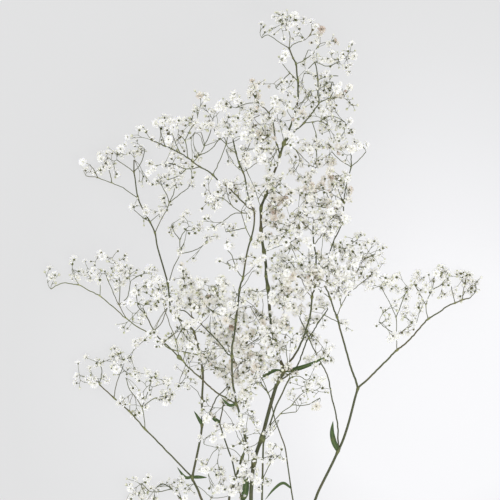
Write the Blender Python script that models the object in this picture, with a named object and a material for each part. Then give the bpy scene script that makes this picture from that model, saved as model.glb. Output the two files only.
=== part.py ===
"""A cut stem of gypsophila, lying on a surface with its flower sprays uppermost.

Metres, +Z up. +Y runs from the cut end to the top of the bush, +X to its right, and Z = 0 is the surface it lies on.
Routes are laid out as "u,v" or "u,v,z" points: u and v are steps of GRID across and towards the cut end, z is the
height of the stem's middle above the surface in millimetres, and points without a z take one from their neighbours.
"""

import math
import random

import bmesh
import bpy
from mathutils import Vector

# Driving dimensions
GRID = 0.0007  # one layout step
EYE = 1.40  # the layout is drawn as seen from straight above, from this far over EYE_U, EYE_V
EYE_U, EYE_V = 250.0, 250.0
MID_Z = 0.040  # height at which one layout step is exactly GRID
ORIGIN_U, ORIGIN_V = 261.991, 362.245  # layout point of the origin, under the middle of the plant
GAP = 0.0003  # clearance between pieces that would touch
TWIG_R = 0.00034  # radius of the thinnest twigs that are modelled
HEAD_R = 0.0029  # radius of an open flower head
LEAF_T = 0.0009  # thickness of a leaf blade
HEADS_PER_TIP = 2
SEED = 41

# name | parent | radius at the start, radius at the end (mm) | route
BRANCHES = """
main_stem | - | 1.55 .50 | 268,700,1.7 266,680,2.6 264,650,5 262,620,9 259,590,14 256,560,19 253,530,24 251,500,29 252,480 254,462 258,448 262,438,40 266,422 270,407 274,393 278,381 284,371,50 280,360 277,350 275,341 272,328 270,314 269,300 268,288 266,276,60 266,266 264,252 262,240 261,230,62 261,219 261,208 263,202 266,195 270,184 272,178 277,165 280,155 284,143,56 289,130 293,120 296,108,50 298,100 298,90 298,81,44 297,75 296,64 293,58 289,48,34
side_stem_right | main_stem | 1.05 .80 | 262,603 272,583 285,560 298,533 307,516 315,500,26 319,490 332,464 338,451,34 343,440 348,425 352,410 355,398 358,388,40
branch_right_long | side_stem_right | .70 .42 | 358,388 368,379 379,368 390,357 397,350,34 404,345 412,337 420,328 428,319,26 438,313 448,306,19 455,303 462,300,14 470,298,12
branch_right_upper | side_stem_right | .75 .50 | 358,388 355,378 351,368 346,350 340,328 337,317,52 334,309 330,298 326,288,62
branch_right_inner | side_stem_right | .55 .38 | 338,451 338,430 336,415 332,397 330,387 327,374,46 320,361 312,345 309,338 300,318,54
side_stem_thin | side_stem_right | .55 .36 | 298,533 297,520 293,500,30 291,488 289,474 287,460 285,447,42 281,436 277,425 275,420 271,402 268,393,54 260,382,58
side_stem_centre | main_stem | .75 .50 | 255,548 260,530 262,515 262,500,36 262.5,480 263,455 264,440,52 269,427 273,415 276,406 282,394 286,385 290,378,64
side_stem_left_centre | main_stem | .90 .45 | 257,575 246,562 236,545 230,525 229,500,31 232,490 237,474 242,458 246,449,44 247,447 242,425 238,408 236,404,54 235,394 233,385 232,370 232,356 232,346,62 234,337 236,320 238,304 239.5,290 241,283 243,278,68 246,258 249,245 251,239,71 254,225 254,211,73 250,203 247,190 245,178 243,172,74 239,163 236,153 233,140,70
side_stem_left | main_stem | .95 .42 | 259,592 250,578 236,558 218,528 207,510 201,498,15 198,490 194,482 192.5,477,16 197,455 200,440 202,425,22 202,400 203,380 202.5,370 200,355 197,343 194,332,27 190,327 175,316 171,311,26 170,305 168,285,24 165,273 160,256 157,245 155,233,18 150,222 145,213 138,198,12 135,178 134,172,9 134,160,7
side_stem_short | main_stem | .70 .40 | 254,537 249,520 242,500,24 240,490 236,478 232,460 228,449,31 221,428 220,422,36 222,412 224,400,40
branch_left_high | side_stem_left_centre | .60 .38 | 236,404 228,399 219,394 210,387 203,380 196,374 187,366 183,361 179,357,64 165,343 158,337 154,331,68 146,315 143,308,70
branch_left_cross | side_stem_left_centre | .50 .36 | 232,362 228,354 222,346 217,340 208,331 200,323 192,317 185,311 178,310,56
branch_left_inner | side_stem_left | .50 .36 | 202,425 209,415 213,405 218,396 230,385 240,375 250,367,36
branch_left_low | side_stem_left | .62 .38 | 193,477 185,470 162,446 145,429,11 130,412 114,398 99,384,6 95,379,5
branch_left_middle | side_stem_left | .55 .38 | 199,352 185,352 170,349 160,341 150,334 135,325 126,318,15 112,306 100,296,10 90,291 79,285,8 70,284 62,283,5 51,289,2.6
branch_upper_left | side_stem_left_centre | .55 .38 | 254,213 247,206 235,194 228,187 219,181 213,175,70 206,170 200,167 193,162,66 188,158 180,153 165,146,56 158,143 151,140,50
branch_centre | main_stem | .75 .45 | 284,371 287,365 294,356 300,346 304,336 308,323 311,310 312,297,58 314,290 315,283 316,258 314,245 313,232 313,222,60
branch_centre_low | main_stem | .55 .38 | 279,379 287,376 296,368 302,354 306,343 309,337,44 313,332 318,323 324,315 328,309,42
branch_right_top | branch_right_upper | .48 .36 | 326,288 327,275 328,260 333,243 342,223 344,202,58 346,187 351,167,50 351,155,47
branch_top_right | main_stem | .55 .38 | 284,143 295,131 304,123,54 312,113 319,103,48 318,95 318,80 315,62,38
branch_top_left | main_stem | .50 .36 | 279,158 276,140 273,123 269,113,62 258,102 252,92,58
branch_bottom_left | side_stem_left | .50 .36 | 212,519 197,512 181,499 172,489,9 163,484,8 157,487,6
"""

# Twigs. A twig with its parent's name before the colon grows on it as one piece; any other name starts a new spray.
TWIGS = """
main_stem:main_stem | 289,48 279,42 268,35 262,38,30
main_stem:main_stem | 289,48 296,43 305,40,30
main_stem:main_stem | 289,48 290,36 286,24,32
main_stem:main_stem | 298,84 290,73 281,62,52
main_stem:main_stem | 290,73 283,80 276,88,50
main_stem:main_stem | 296,68 304,60 308,50,30
main_stem:main_stem | 304,60 312,54 320,44,22
branch_top_right:branch_top_right | 315,62 309,68 304,74,34
branch_top_right:branch_top_right | 315,62 328,66 342,60,26
branch_top_right:branch_top_right | 318,80 328,76 338,76,32
spray_top_right:branch_top_right | 319,103 330,98 342,98,34
spray_top_right:spray_top_right | 330,98 334,90 333,82,40
spray_upper_right:branch_top_right | 304,123 312,122 320,121,44 329,126,38
spray_upper_right:spray_upper_right | 320,121 332,116 345,122,30
spray_upper_right:spray_upper_right | 312,122 316,134 318,146,44
branch_top_left:branch_top_left | 269,113 262,114 254,118,56
branch_top_left:branch_top_left | 258,102 246,104 236,108,50
branch_top_left:branch_top_left | 269,113 275,104 278,97,66
side_stem_left_centre:side_stem_left_centre | 236,153 228,147 224,137,66
side_stem_left_centre:side_stem_left_centre | 239,163 246,152 252,138,74
spray_upper_mid:branch_upper_left | 213,175 220,160 226,144,66 230,124,58
spray_upper_mid:spray_upper_mid | 226,144 216,134 212,122,52
spray_upper_left:branch_upper_left | 193,162 198,156 204,146,60 201,132,50
spray_upper_left:spray_upper_left | 204,146 210,134 213,120,46
spray_upper_left:spray_upper_left | 198,156 210,150 218,141,62
spray_left_top:branch_upper_left | 190,160 185,141,62 178,134,54
spray_left_top:spray_left_top | 185,141 190,130 196,122,50
branch_upper_left:branch_upper_left | 165,146 162,136 160,128,46
branch_upper_left:branch_upper_left | 180,153 176,144 172,133,54
spray_left_under:branch_upper_left | 197,165 186,169 176,165,56 166,163,48
spray_left_under:spray_left_under | 186,169 178,176 168,180,48
side_stem_left:side_stem_left | 134,172 126,166 117,160,4
side_stem_left:side_stem_left | 134,172 141,163 145,150,5
spray_left_far:side_stem_left | 138,198 123,188 112,183,6 98,178,3.5 86,176,1.8
spray_left_far:spray_left_far | 112,183 110,174 108,165,4
spray_left_far:spray_left_far | 98,178 94,170 90,165,3.5
spray_left_fork:side_stem_left | 155,233 161,220 169,203,28 163,188,30
spray_left_fork:spray_left_fork | 169,203 174,192 175,182,34
spray_left_fork:spray_left_fork | 169,203 180,194 188,188,36
spray_left_low:side_stem_left | 167,279 174,266 180,254,30 180,240,34 186,229,36
spray_left_low:spray_left_low | 180,254 193,251 202,246,40 210,237,44
spray_left_low:spray_left_low | 180,240 174,232 172,224,32
spray_mid_left:side_stem_left_centre | 254,217 243,213 231,205,70 224,199,70 212,195,66
spray_mid_left:spray_mid_left | 231,205 228,196 226,188,66
spray_mid_left:spray_mid_left | 243,213 233,214 222,222,74
spray_crown:main_stem | 284,145 296,150 306,161,44
spray_crown:spray_crown | 296,150 300,160 296,170,46
branch_right_top:branch_right_top | 351,167 359,160 366,152,42
branch_right_top:branch_right_top | 351,167 340,160 332,152,44
branch_right_top:branch_right_top | 344,202 338,190 336,178,54
spray_right_mid:branch_right_top | 342,223 335,212 329,200,60 326,190,56
spray_right_mid:spray_right_mid | 335,212 326,208 316,206,60
spray_heart:main_stem | 266,195 274,190 281,180,66
spray_heart:spray_heart | 274,190 282,196 288,206,68
spray_heart_left:main_stem | 262,226 272,220 276,208,68
spray_heart_left:spray_heart_left | 272,220 282,224 292,226,70
branch_centre:branch_centre | 314,245 322,234 328,222,64
branch_centre:branch_centre | 313,232 304,224 298,214,66
spray_left_heart:side_stem_left_centre | 251,239 246,228 241,212,76
spray_left_heart:spray_left_heart | 246,228 236,230 226,232,72
spray_right_high:branch_right_upper | 337,317 341,306 348,293,54 354,277,54 362,262,52
spray_right_high:spray_right_high | 348,293 358,286 372,274,46
spray_right_high:spray_right_high | 354,277 352,262 348,248,58
spray_right_high:spray_right_high | 341,306 339,292 338,278,60
branch_right_upper:branch_right_upper | 330,298 322,292 312,284,70
spray_dark:branch_centre | 312,300 306,290 300,276,66 290,262,68
spray_dark:spray_dark | 306,290 296,290 284,292,70
branch_right_long:branch_right_long | 462,300 464,288 466,278,6.5
branch_right_long:branch_right_long | 470,298 476,290 475,283,4.6
branch_right_long:branch_right_long | 455,303 452,290 448,278,16
spray_right_inner:branch_right_long | 397,350 396.5,335,40 396,318,42 389,302,40 382,288,36
spray_right_inner:spray_right_inner | 396,318 402,302 408,288,32
spray_right_inner:spray_right_inner | 396.5,335 386,328 379,322,46
spray_right_inner:spray_right_inner | 396.5,335 408,328 416,324,36
spray_right_outer:branch_right_long | 428,319 426,305 432,290,34 434,278,38
spray_right_outer:spray_right_outer | 426,305 420,294 414,284,30
spray_right_outer:spray_right_outer | 432,290 442,284 448,272,40
branch_left_middle:branch_left_middle | 79,285 75,278 72,270,5
branch_left_middle:branch_left_middle | 100,296 100,282 95,268,8
spray_left_mid:branch_left_middle | 126,318 119,305,22 112,290,24 106,275,22
spray_left_mid:spray_left_mid | 119,305 128,296 130,282,26
spray_left_mid:spray_left_mid | 119,305 120,286 118,268,28
branch_left_low:branch_left_low | 99,384 90,378 80,376,3.5
branch_left_low:branch_left_low | 99,384 102,373 100,364,4
branch_left_low:branch_left_low | 114,398 117,382 123,366,8
spray_low_left:branch_left_low | 145,429 142,407,20 130,390,20 126,378,20
spray_low_left:spray_low_left | 142,407 147,395 151,382,24
spray_low_left:spray_low_left | 142,407 155,398 166,396,20
branch_left_high:branch_left_high | 154,331 162,322 167,308,74
branch_left_high:branch_left_high | 146,315 138,306 136,292,68
spray_high_left:branch_left_high | 179,357 176,340,72 170,325,76 162,300,78
spray_high_left:spray_high_left | 176,340 182,328 178,318,78
branch_left_cross:branch_left_cross | 192,317 190,303 186,290,58
branch_left_cross:branch_left_cross | 200,323 206,308 211,294,62
spray_cross:side_stem_left_centre | 236,322 226,314 220,300,72 214,288,70
spray_cross:spray_cross | 226,314 216,314 206,306,70
side_stem_left_centre:side_stem_left_centre | 243,278 236,270 227,262,66
side_stem_left_centre:side_stem_left_centre | 236,270 232,256 224,246,66
branch_left_inner:branch_left_inner | 240,375 236,364 230,352,40
branch_left_inner:branch_left_inner | 230,385 232,376 238,366,34
side_stem_thin:side_stem_thin | 268,393 262,378 256,362,62
side_stem_thin:side_stem_thin | 268,393 275,386 280,372,62
side_stem_centre:side_stem_centre | 290,378 288,364 286,346,70
side_stem_centre:side_stem_centre | 290,378 298,376 306,380,66
spray_white:side_stem_centre | 270,424 280,414,58 292,405,60 303,393,60 316,390,58
spray_white:spray_white | 292,405 306,405 320,398,54
spray_white:spray_white | 280,414 296,412,52
spray_base:main_stem | 253,468 246,474,38 249,458,44 246,450,46
spray_base:spray_base | 246,474 250,484,42 256,478,44
side_stem_centre:side_stem_centre | 263,469 270,464 278,456,46
side_stem_centre:side_stem_centre | 270,464 272,452 276,444,52
branch_bottom_left:branch_bottom_left | 181,499 178,488 178,478,12
branch_bottom_left:branch_bottom_left | 172,489 152,492 142,484,5
branch_centre_low:branch_centre_low | 318,323 312,320 306,322,44
branch_centre_low:branch_centre_low | 324,315 334,320 344,325,36
spray_warm:main_stem | 275,341 266,334 258,320,62 250,306,62
spray_warm:spray_warm | 266,334 256,340 246,346,60
"""

# name | parent | width (mm) | route, from the joint to the tip
LEAVES = """
leaf_right_joint | side_stem_right | 3.6 | 338,451 334,442,39 332,432,44 333,421,48
leaf_left_crescent | side_stem_short | 2.6 | 220,422 216,420,38 212,416,40 210,409,42
leaf_base | side_stem_short | 4.4 | 242,501 245,493,30 246,480,33 242,466,34
leaf_centre_left | main_stem | 2.4 | 283,371 273,371,53 264,376,54 255,376,53
leaf_centre_right | main_stem | 2.9 | 285,370 296,369,56 311,364,60 325,357,61
leaf_thin_stem | side_stem_thin | 1.9 | 291,484 283,483,40 274,489,43 265,500,44
leaf_left_right | side_stem_left | 2.3 | 193,477 199,477,20 207,477.5,22
leaf_left_left | side_stem_left | 2.1 | 192.5,478 185,477,17 177,467,18
leaf_left_upper | side_stem_left | 2.2 | 202,425 199,419,26 194,411,28
leaf_joint_centre | side_stem_left_centre | 2.0 | 236,405 229,405,56 221,397,57
leaf_stem_left | main_stem | 4.2 | 263,642 252,626,7 243,610,4.5 238,596,2.5
leaf_stem_right | main_stem | 4.2 | 263,638 275,626,8 285,611,6 290,596,3
"""

# Where the flowers stand: centre, half width, half height, flowers per 1000 square steps
MASSES = """
287,27,27,14,14; 320,42,9,14,9; 342,60,15,12,14; 310,75,15,20,8; 333,95,18,16,20; 280,90,12,10,12; 262,95,14,12,14
232,112,14,14,14; 210,105,18,12,8; 200,122,14,6,18; 170,130,24,14,15; 250,125,22,16,13; 335,125,16,14,14; 325,150,22,12,15
362,150,10,6,12; 325,185,25,20,20; 275,195,14,16,20; 240,190,20,12,18; 295,160,12,12,9; 265,215,18,12,18; 285,225,20,14,20
320,215,22,18,20; 355,258,28,22,19; 300,285,35,25,19; 340,280,14,14,14; 210,295,22,20,19; 225,315,14,14,14; 180,295,20,18,16
150,290,15,22,15; 115,268,20,18,15; 65,272,16,12,11; 95,270,14,12,11; 90,168,10,8,16; 112,160,10,12,15; 130,145,12,8,16
165,178,20,12,14; 215,230,22,14,9; 185,225,12,12,10; 250,355,30,18,19; 235,380,25,20,12; 305,390,20,15,11; 445,282,32,12,18
395,284,26,8,13; 395,320,22,16,8; 90,368,18,12,13; 125,362,14,10,13; 150,385,18,12,14; 150,488,22,12,11; 250,464,14,18,13
133,330,10,12,8; 312,325,16,14,10; 276,452,9,12,11; 255,320,18,18,12
"""

COLOURS = {
    "stem": ((0.16, 0.20, 0.07, 1), 0.55),
    "leaf": ((0.07, 0.13, 0.04, 1), 0.5),
    "spray": ((0.83, 0.83, 0.78, 1), 0.7),
}


def place(u, v, z):
    """Layout point, with z in metres, to the object's own frame."""
    s = (EYE - (z - MID_Z)) / EYE
    return Vector(
        (
            ((u - EYE_U) * s + EYE_U - ORIGIN_U) * GRID,
            ((EYE_V - v) * s + ORIGIN_V - EYE_V) * GRID,
            z,
        )
    )


def route_of(text, first_z=None):
    """The layout points of a route, each with a z in millimetres."""
    rows = [[float(n) for n in token.split(",")] for token in text.split()]
    if len(rows[0]) == 2:
        rows[0].append(first_z)
    known = [i for i, row in enumerate(rows) if len(row) == 3]
    run = [0.0]
    for a, b in zip(rows, rows[1:]):
        run.append(run[-1] + math.hypot(b[0] - a[0], b[1] - a[1]))
    out = []
    for i, row in enumerate(rows):
        if len(row) == 2:
            lo = max(k for k in known if k < i)
            hi = min([k for k in known if k > i], default=lo)
            t = (run[i] - run[lo]) / (run[hi] - run[lo]) if hi > lo else 0.0
            row = row + [rows[lo][2] + (rows[hi][2] - rows[lo][2]) * t]
        out.append(tuple(row))
    return out


class Plant:
    """Nodes of the whole plant: a position, a radius, a parent and the piece that each belongs to."""

    def __init__(self):
        self.pos, self.rad, self.up, self.piece, self.grid = [], [], [], [], []
        self.kids = []

    def add(self, uvz, rad, up, piece):
        self.pos.append(place(uvz[0], uvz[1], uvz[2] / 1000))
        self.grid.append(uvz)
        self.rad.append(rad)
        self.up.append(up)
        self.piece.append(piece)
        self.kids.append([])
        if up is not None:
            self.kids[up].append(len(self.pos) - 1)
        return len(self.pos) - 1

    def nearest(self, piece, u, v):
        at = [i for i, p in enumerate(self.piece) if p == piece]
        return min(
            at, key=lambda i: (self.grid[i][0] - u) ** 2 + (self.grid[i][1] - v) ** 2
        )


def grow_route(plant, piece, parent, route, r0, r1):
    first = [float(n) for n in route.split()[0].split(",")]
    up = None if parent is None else plant.nearest(parent, first[0], first[1])
    points = route_of(route, None if up is None else plant.grid[up][2])
    total = len(points) - 1
    ids = []
    for i, point in enumerate(points):
        if i == 0 and up is not None:
            ids.append(up)
            continue
        rad = (r0 + (r1 - r0) * i / total) / 1000
        ids.append(plant.add(point, rad, ids[-1] if ids else None, piece))
    return ids


def flowers(rng):
    """Layout positions of the open flowers, spread evenly over each mass."""
    found = []
    for entry in MASSES.replace("\n", ";").split(";"):
        if not entry.strip():
            continue
        cu, cv, ru, rv, density = (float(n) for n in entry.split(","))
        count = max(3, round(math.pi * ru * rv * density / 1000))
        for _ in range(count):
            best, best_gap = None, -1.0
            for _ in range(8):
                a, q = rng.uniform(0, math.tau), math.sqrt(rng.random())
                u, v = cu + ru * 1.05 * q * math.cos(a), cv + rv * 1.05 * q * math.sin(a)
                gap = min(
                    ((u - f[0]) ** 2 + (v - f[1]) ** 2 for f in found), default=1e9
                )
                if gap > best_gap:
                    best, best_gap = (u, v), gap
            found.append(best)
    return found


def split(points, root):
    """Two groups of the points, parted across their widest spread as seen from the root."""
    mid = sum(points, Vector()) / len(points)
    far = max(points, key=lambda p: (p - mid).length)
    other = max(points, key=lambda p: (p - far).length)
    axis = other - far
    order = sorted(points, key=lambda p: p.dot(axis))
    half = len(order) // 2
    return order[:half], order[half:]


def cyme(tree, root, heading, targets):
    """Forks again and again from the root until each target has a stalk of its own."""
    here = tree["pos"][root]
    if len(targets) == 1:
        tree["pos"].append(targets[0])
        tree["up"].append(root)
        tree["head"].append(True)
        return
    for group in split(targets, here):
        if len(group) == 1:
            cyme(tree, root, heading, group)
            continue
        mid = sum(group, Vector()) / len(group)
        reach = min((p - here).length for p in group)
        step = (mid - here).normalized() * 0.75 + heading * 0.25
        fork = here + step.normalized() * min(0.5 * (mid - here).length, 0.6 * reach)
        tree["pos"].append(fork)
        tree["up"].append(root)
        tree["head"].append(False)
        cyme(tree, len(tree["pos"]) - 1, (fork - here).normalized(), group)


def segment_gap(a, b, c, d):
    """Shortest distance between the segments ab and cd."""
    ab, cd, ca = b - a, d - c, a - c
    aa, ee, ff = ab.dot(ab), cd.dot(cd), cd.dot(ca)
    if aa < 1e-14 or ee < 1e-14:
        return (a - c).length
    cc, bb = ab.dot(ca), ab.dot(cd)
    denom = aa * ee - bb * bb
    s = min(1.0, max(0.0, (bb * ff - cc * ee) / denom)) if denom > 1e-18 else 0.0
    t = (bb * s + ff) / ee
    if t < 0:
        t, s = 0.0, min(1.0, max(0.0, -cc / aa))
    elif t > 1:
        t, s = 1.0, min(1.0, max(0.0, (bb - cc) / aa))
    return (a + ab * s - c - cd * t).length


class Room:
    """The space that is already taken, as round-ended rods sorted into cells."""

    CELL = 0.012

    def __init__(self):
        self.cells = {}

    def around(self, a, b, r):
        low = [int(math.floor((min(a[i], b[i]) - r) / self.CELL)) for i in range(3)]
        high = [int(math.floor((max(a[i], b[i]) + r) / self.CELL)) for i in range(3)]
        for x in range(low[0], high[0] + 1):
            for y in range(low[1], high[1] + 1):
                for z in range(low[2], high[2] + 1):
                    yield (x, y, z)

    def take(self, a, b, r, piece):
        for cell in self.around(a, b, r):
            self.cells.setdefault(cell, []).append((a, b, r, piece))

    def clash(self, a, b, r, piece):
        for cell in self.around(a, b, r + 0.002):
            for c, d, q, other in self.cells.get(cell, ()):
                if other != piece and segment_gap(a, b, c, d) < r + q + GAP * 1.5:
                    return other
        return None


def ring(bm, centre, axis, side, rad, sides, flat=1.0):
    other = axis.cross(side).normalized()
    return [
        bm.verts.new(
            centre
            + side * (rad * math.cos(math.tau * k / sides))
            + other * (rad * flat * math.sin(math.tau * k / sides))
        )
        for k in range(sides)
    ]


def bridge(bm, a, b):
    n = len(a)
    for k in range(n):
        bm.faces.new((a[k], a[(k + 1) % n], b[(k + 1) % n], b[k]))


def turn(side, axis):
    side = side - axis * side.dot(axis)
    if side.length < 1e-6:
        side = axis.orthogonal()
    return side.normalized()


def hull(bm, rings, extra=()):
    """Closes the space between open rings with their convex hull, leaving the rings themselves open."""
    owner, verts = {}, []
    for number, loop in enumerate(rings):
        for vert in loop:
            owner[len(verts)] = number
            verts.append(vert)
    for vert in extra:
        owner[len(verts)] = -1 - len(verts)
        verts.append(vert)
    mid = sum((v.co for v in verts), Vector()) / len(verts)
    small = bmesh.new()
    copies = {small.verts.new((v.co - mid) * 1000): i for i, v in enumerate(verts)}
    bmesh.ops.convex_hull(small, input=list(copies), use_existing_faces=False)
    bmesh.ops.recalc_face_normals(small, faces=small.faces)
    for face in small.faces:
        ids = [copies[v] for v in face.verts]
        if len({owner[i] for i in ids}) == 1 and owner[ids[0]] >= 0:
            continue
        if face.normal.dot(face.calc_center_median()) < 0:
            ids.reverse()
        bm.faces.new([verts[i] for i in ids])
    small.free()


def spread(axes):
    """Turns axes that leave a joint too close together apart, and returns them with their smallest angle."""
    axes = [a.normalized() for a in axes]
    least = math.radians(46)
    for _ in range(60):
        moved = False
        for i in range(len(axes)):
            for j in range(i + 1, len(axes)):
                angle = axes[i].angle(axes[j])
                if angle < least:
                    away = axes[i] - axes[j]
                    if away.length < 1e-4:
                        away = axes[i].orthogonal() * 0.1
                    push = away.normalized() * (least - angle) * 0.3
                    if i:
                        axes[i] = (axes[i] + push).normalized()
                    axes[j] = (axes[j] - push).normalized()
                    moved = True
        if not moved:
            break
    return axes


def tree_mesh(name, pos, rad, up, heads, sides):
    """One closed mesh of a forking stem: rings along it, a hull at every fork, and a flower head on marked ends."""
    kids = [[] for _ in pos]
    for i, parent in enumerate(up):
        if parent is not None:
            kids[parent].append(i)
    bm = bmesh.new()
    # The ring with which each segment starts at its parent's end, and its sideways direction.
    starts = {}

    def fork(i, arriving, side):
        """The rings around joint i; the first belongs to the segment that arrives."""
        here = pos[i]
        lines = ([here + arriving * -1] if arriving is not None else []) + [
            pos[k] for k in kids[i]
        ]
        axes = spread([line - here for line in lines])
        angle = min(
            axes[a].angle(axes[b])
            for a in range(len(axes))
            for b in range(a + 1, len(axes))
        )
        lengths = [(pos[k] - here).length for k in kids[i]]
        if arriving is not None:
            lengths.append((here - pos[up[i]]).length)
        radii = ([rad[i]] if arriving is not None else []) + [
            min(rad[i], rad[k]) for k in kids[i]
        ]
        biggest = sorted(radii)[-2:]
        size = min(sum(biggest) / max(angle, 0.3) * 1.15, 0.38 * min(lengths))
        size = max(size, 0.0002)
        most = size * math.sin(angle / 2) * 0.92
        rings = []
        for n, axis in enumerate(axes):
            r = min(radii[n], most)
            reach = math.sqrt(max(size * size - r * r, 1e-12))
            s = turn(side, axis)
            if n == 0 and arriving is not None:
                rings.append(ring(bm, here + axis * reach, -axis, s, r, sides))
            else:
                rings.append(ring(bm, here + axis * reach, axis, s, r, sides))
                starts[kids[i][n - (arriving is not None)]] = (rings[-1], s)
        hull(bm, rings)
        return rings

    first = kids[0][0]
    axis = (pos[first] - pos[0]).normalized()
    side = turn(Vector((0, 0, 1)), axis)
    if len(kids[0]) > 1:
        fork(0, None, side)
    else:
        loop = ring(bm, pos[0], axis, side, rad[0], sides)
        bm.faces.new(list(reversed(loop)))
        starts[first] = (loop, side)
    order = list(kids[0])
    while order:
        i = order.pop(0)
        order.extend(kids[i])
        loop, side = starts[i]
        came = (pos[i] - pos[up[i]]).normalized()
        if len(kids[i]) > 1:
            rings = fork(i, pos[i] - pos[up[i]], side)
            bridge_best(bm, loop, rings[0])
        elif kids[i]:
            goes = (pos[kids[i][0]] - pos[i]).normalized()
            axis = (came + goes).normalized()
            side = turn(side, axis)
            end = ring(bm, pos[i], axis, side, rad[i], sides)
            bridge_best(bm, loop, end)
            starts[kids[i][0]] = (end, side)
        elif heads[i]:
            size = heads[i]
            side = turn(side, came)
            neck = ring(bm, pos[i] - came * size * 0.9, came, side, min(rad[i], size * 0.4), sides)
            bridge_best(bm, loop, neck)
            wide = ring(bm, pos[i] + came * size * 0.1, came, side, size, 5)
            top = ring(bm, pos[i] + came * size * 0.75, came, side, size * 0.62, 3)
            hull(bm, [neck], wide + top)
        else:
            side = turn(side, came)
            end = ring(bm, pos[i], came, side, rad[i], sides)
            bridge_best(bm, loop, end)
            bm.faces.new(end)
    return finish(bm, name)


def bridge_best(bm, a, b):
    """Joins two rings with the pairing that twists least."""
    n = len(a)
    shift = min(
        range(n),
        key=lambda s: sum((a[k].co - b[(k + s) % n].co).length for k in range(n)),
    )
    bridge(bm, a, [b[(k + shift) % n] for k in range(n)])


def finish(bm, name):
    for vert in bm.verts:
        vert.co.z = max(vert.co.z, 0.0)
    bmesh.ops.recalc_face_normals(bm, faces=bm.faces)
    if bm.calc_volume(signed=True) < 0:
        bmesh.ops.reverse_faces(bm, faces=bm.faces)
    mesh = bpy.data.meshes.new(name)
    bm.to_mesh(mesh)
    bm.free()
    obj = bpy.data.objects.new(name, mesh)
    bpy.context.scene.collection.objects.link(obj)
    return obj


def leaf_mesh(name, points, width):
    """A blade of lens-shaped section, widest below its middle, closed at both ends."""
    bm = bmesh.new()
    fine = []
    for a, b in zip(points, points[1:]):
        fine += [a, (a + b) / 2]
    fine.append(points[-1])
    last = None
    for i, point in enumerate(fine):
        t = i / (len(fine) - 1)
        ahead = fine[min(i + 1, len(fine) - 1)] - fine[max(i - 1, 0)]
        axis = ahead.normalized()
        side = axis.cross(Vector((0, 0, 1))).normalized()
        half = width / 2 * max(0.14, math.sin(math.pi * (t * 0.86 + 0.1)) ** 0.8)
        loop = ring(bm, point, axis, side, half, 6, flat=LEAF_T / 2 / half)
        if last is None:
            bm.faces.new(list(reversed(loop)))
        else:
            bridge(bm, last, loop)
        last = loop
    bm.faces.new(last)
    return finish(bm, name)


def material(name, kind):
    colour, rough = COLOURS[kind]
    mat = bpy.data.materials.new(name)
    mat.use_nodes = True
    shader = mat.node_tree.nodes["Principled BSDF"]
    shader.inputs["Base Color"].default_value = colour
    shader.inputs["Roughness"].default_value = rough
    shader.inputs["Metallic"].default_value = 0.0
    mat.diffuse_color = colour
    return mat


def rows(table):
    return [
        [cell.strip() for cell in line.split("|")]
        for line in table.strip().splitlines()
    ]


def begin_gap(plant, start, toward, parent_rad, own_rad, along):
    """Where a piece starts, just clear of the stem that it grows on."""
    way = toward - start
    axis = way.normalized()
    angle = max(math.radians(16), axis.angle(along) if along.length > 0 else 1.5)
    angle = min(angle, math.pi - angle)
    need = (parent_rad + own_rad + GAP * 1.6) / math.sin(max(angle, math.radians(16)))
    return start + axis * min(need, way.length * 0.85)


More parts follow.
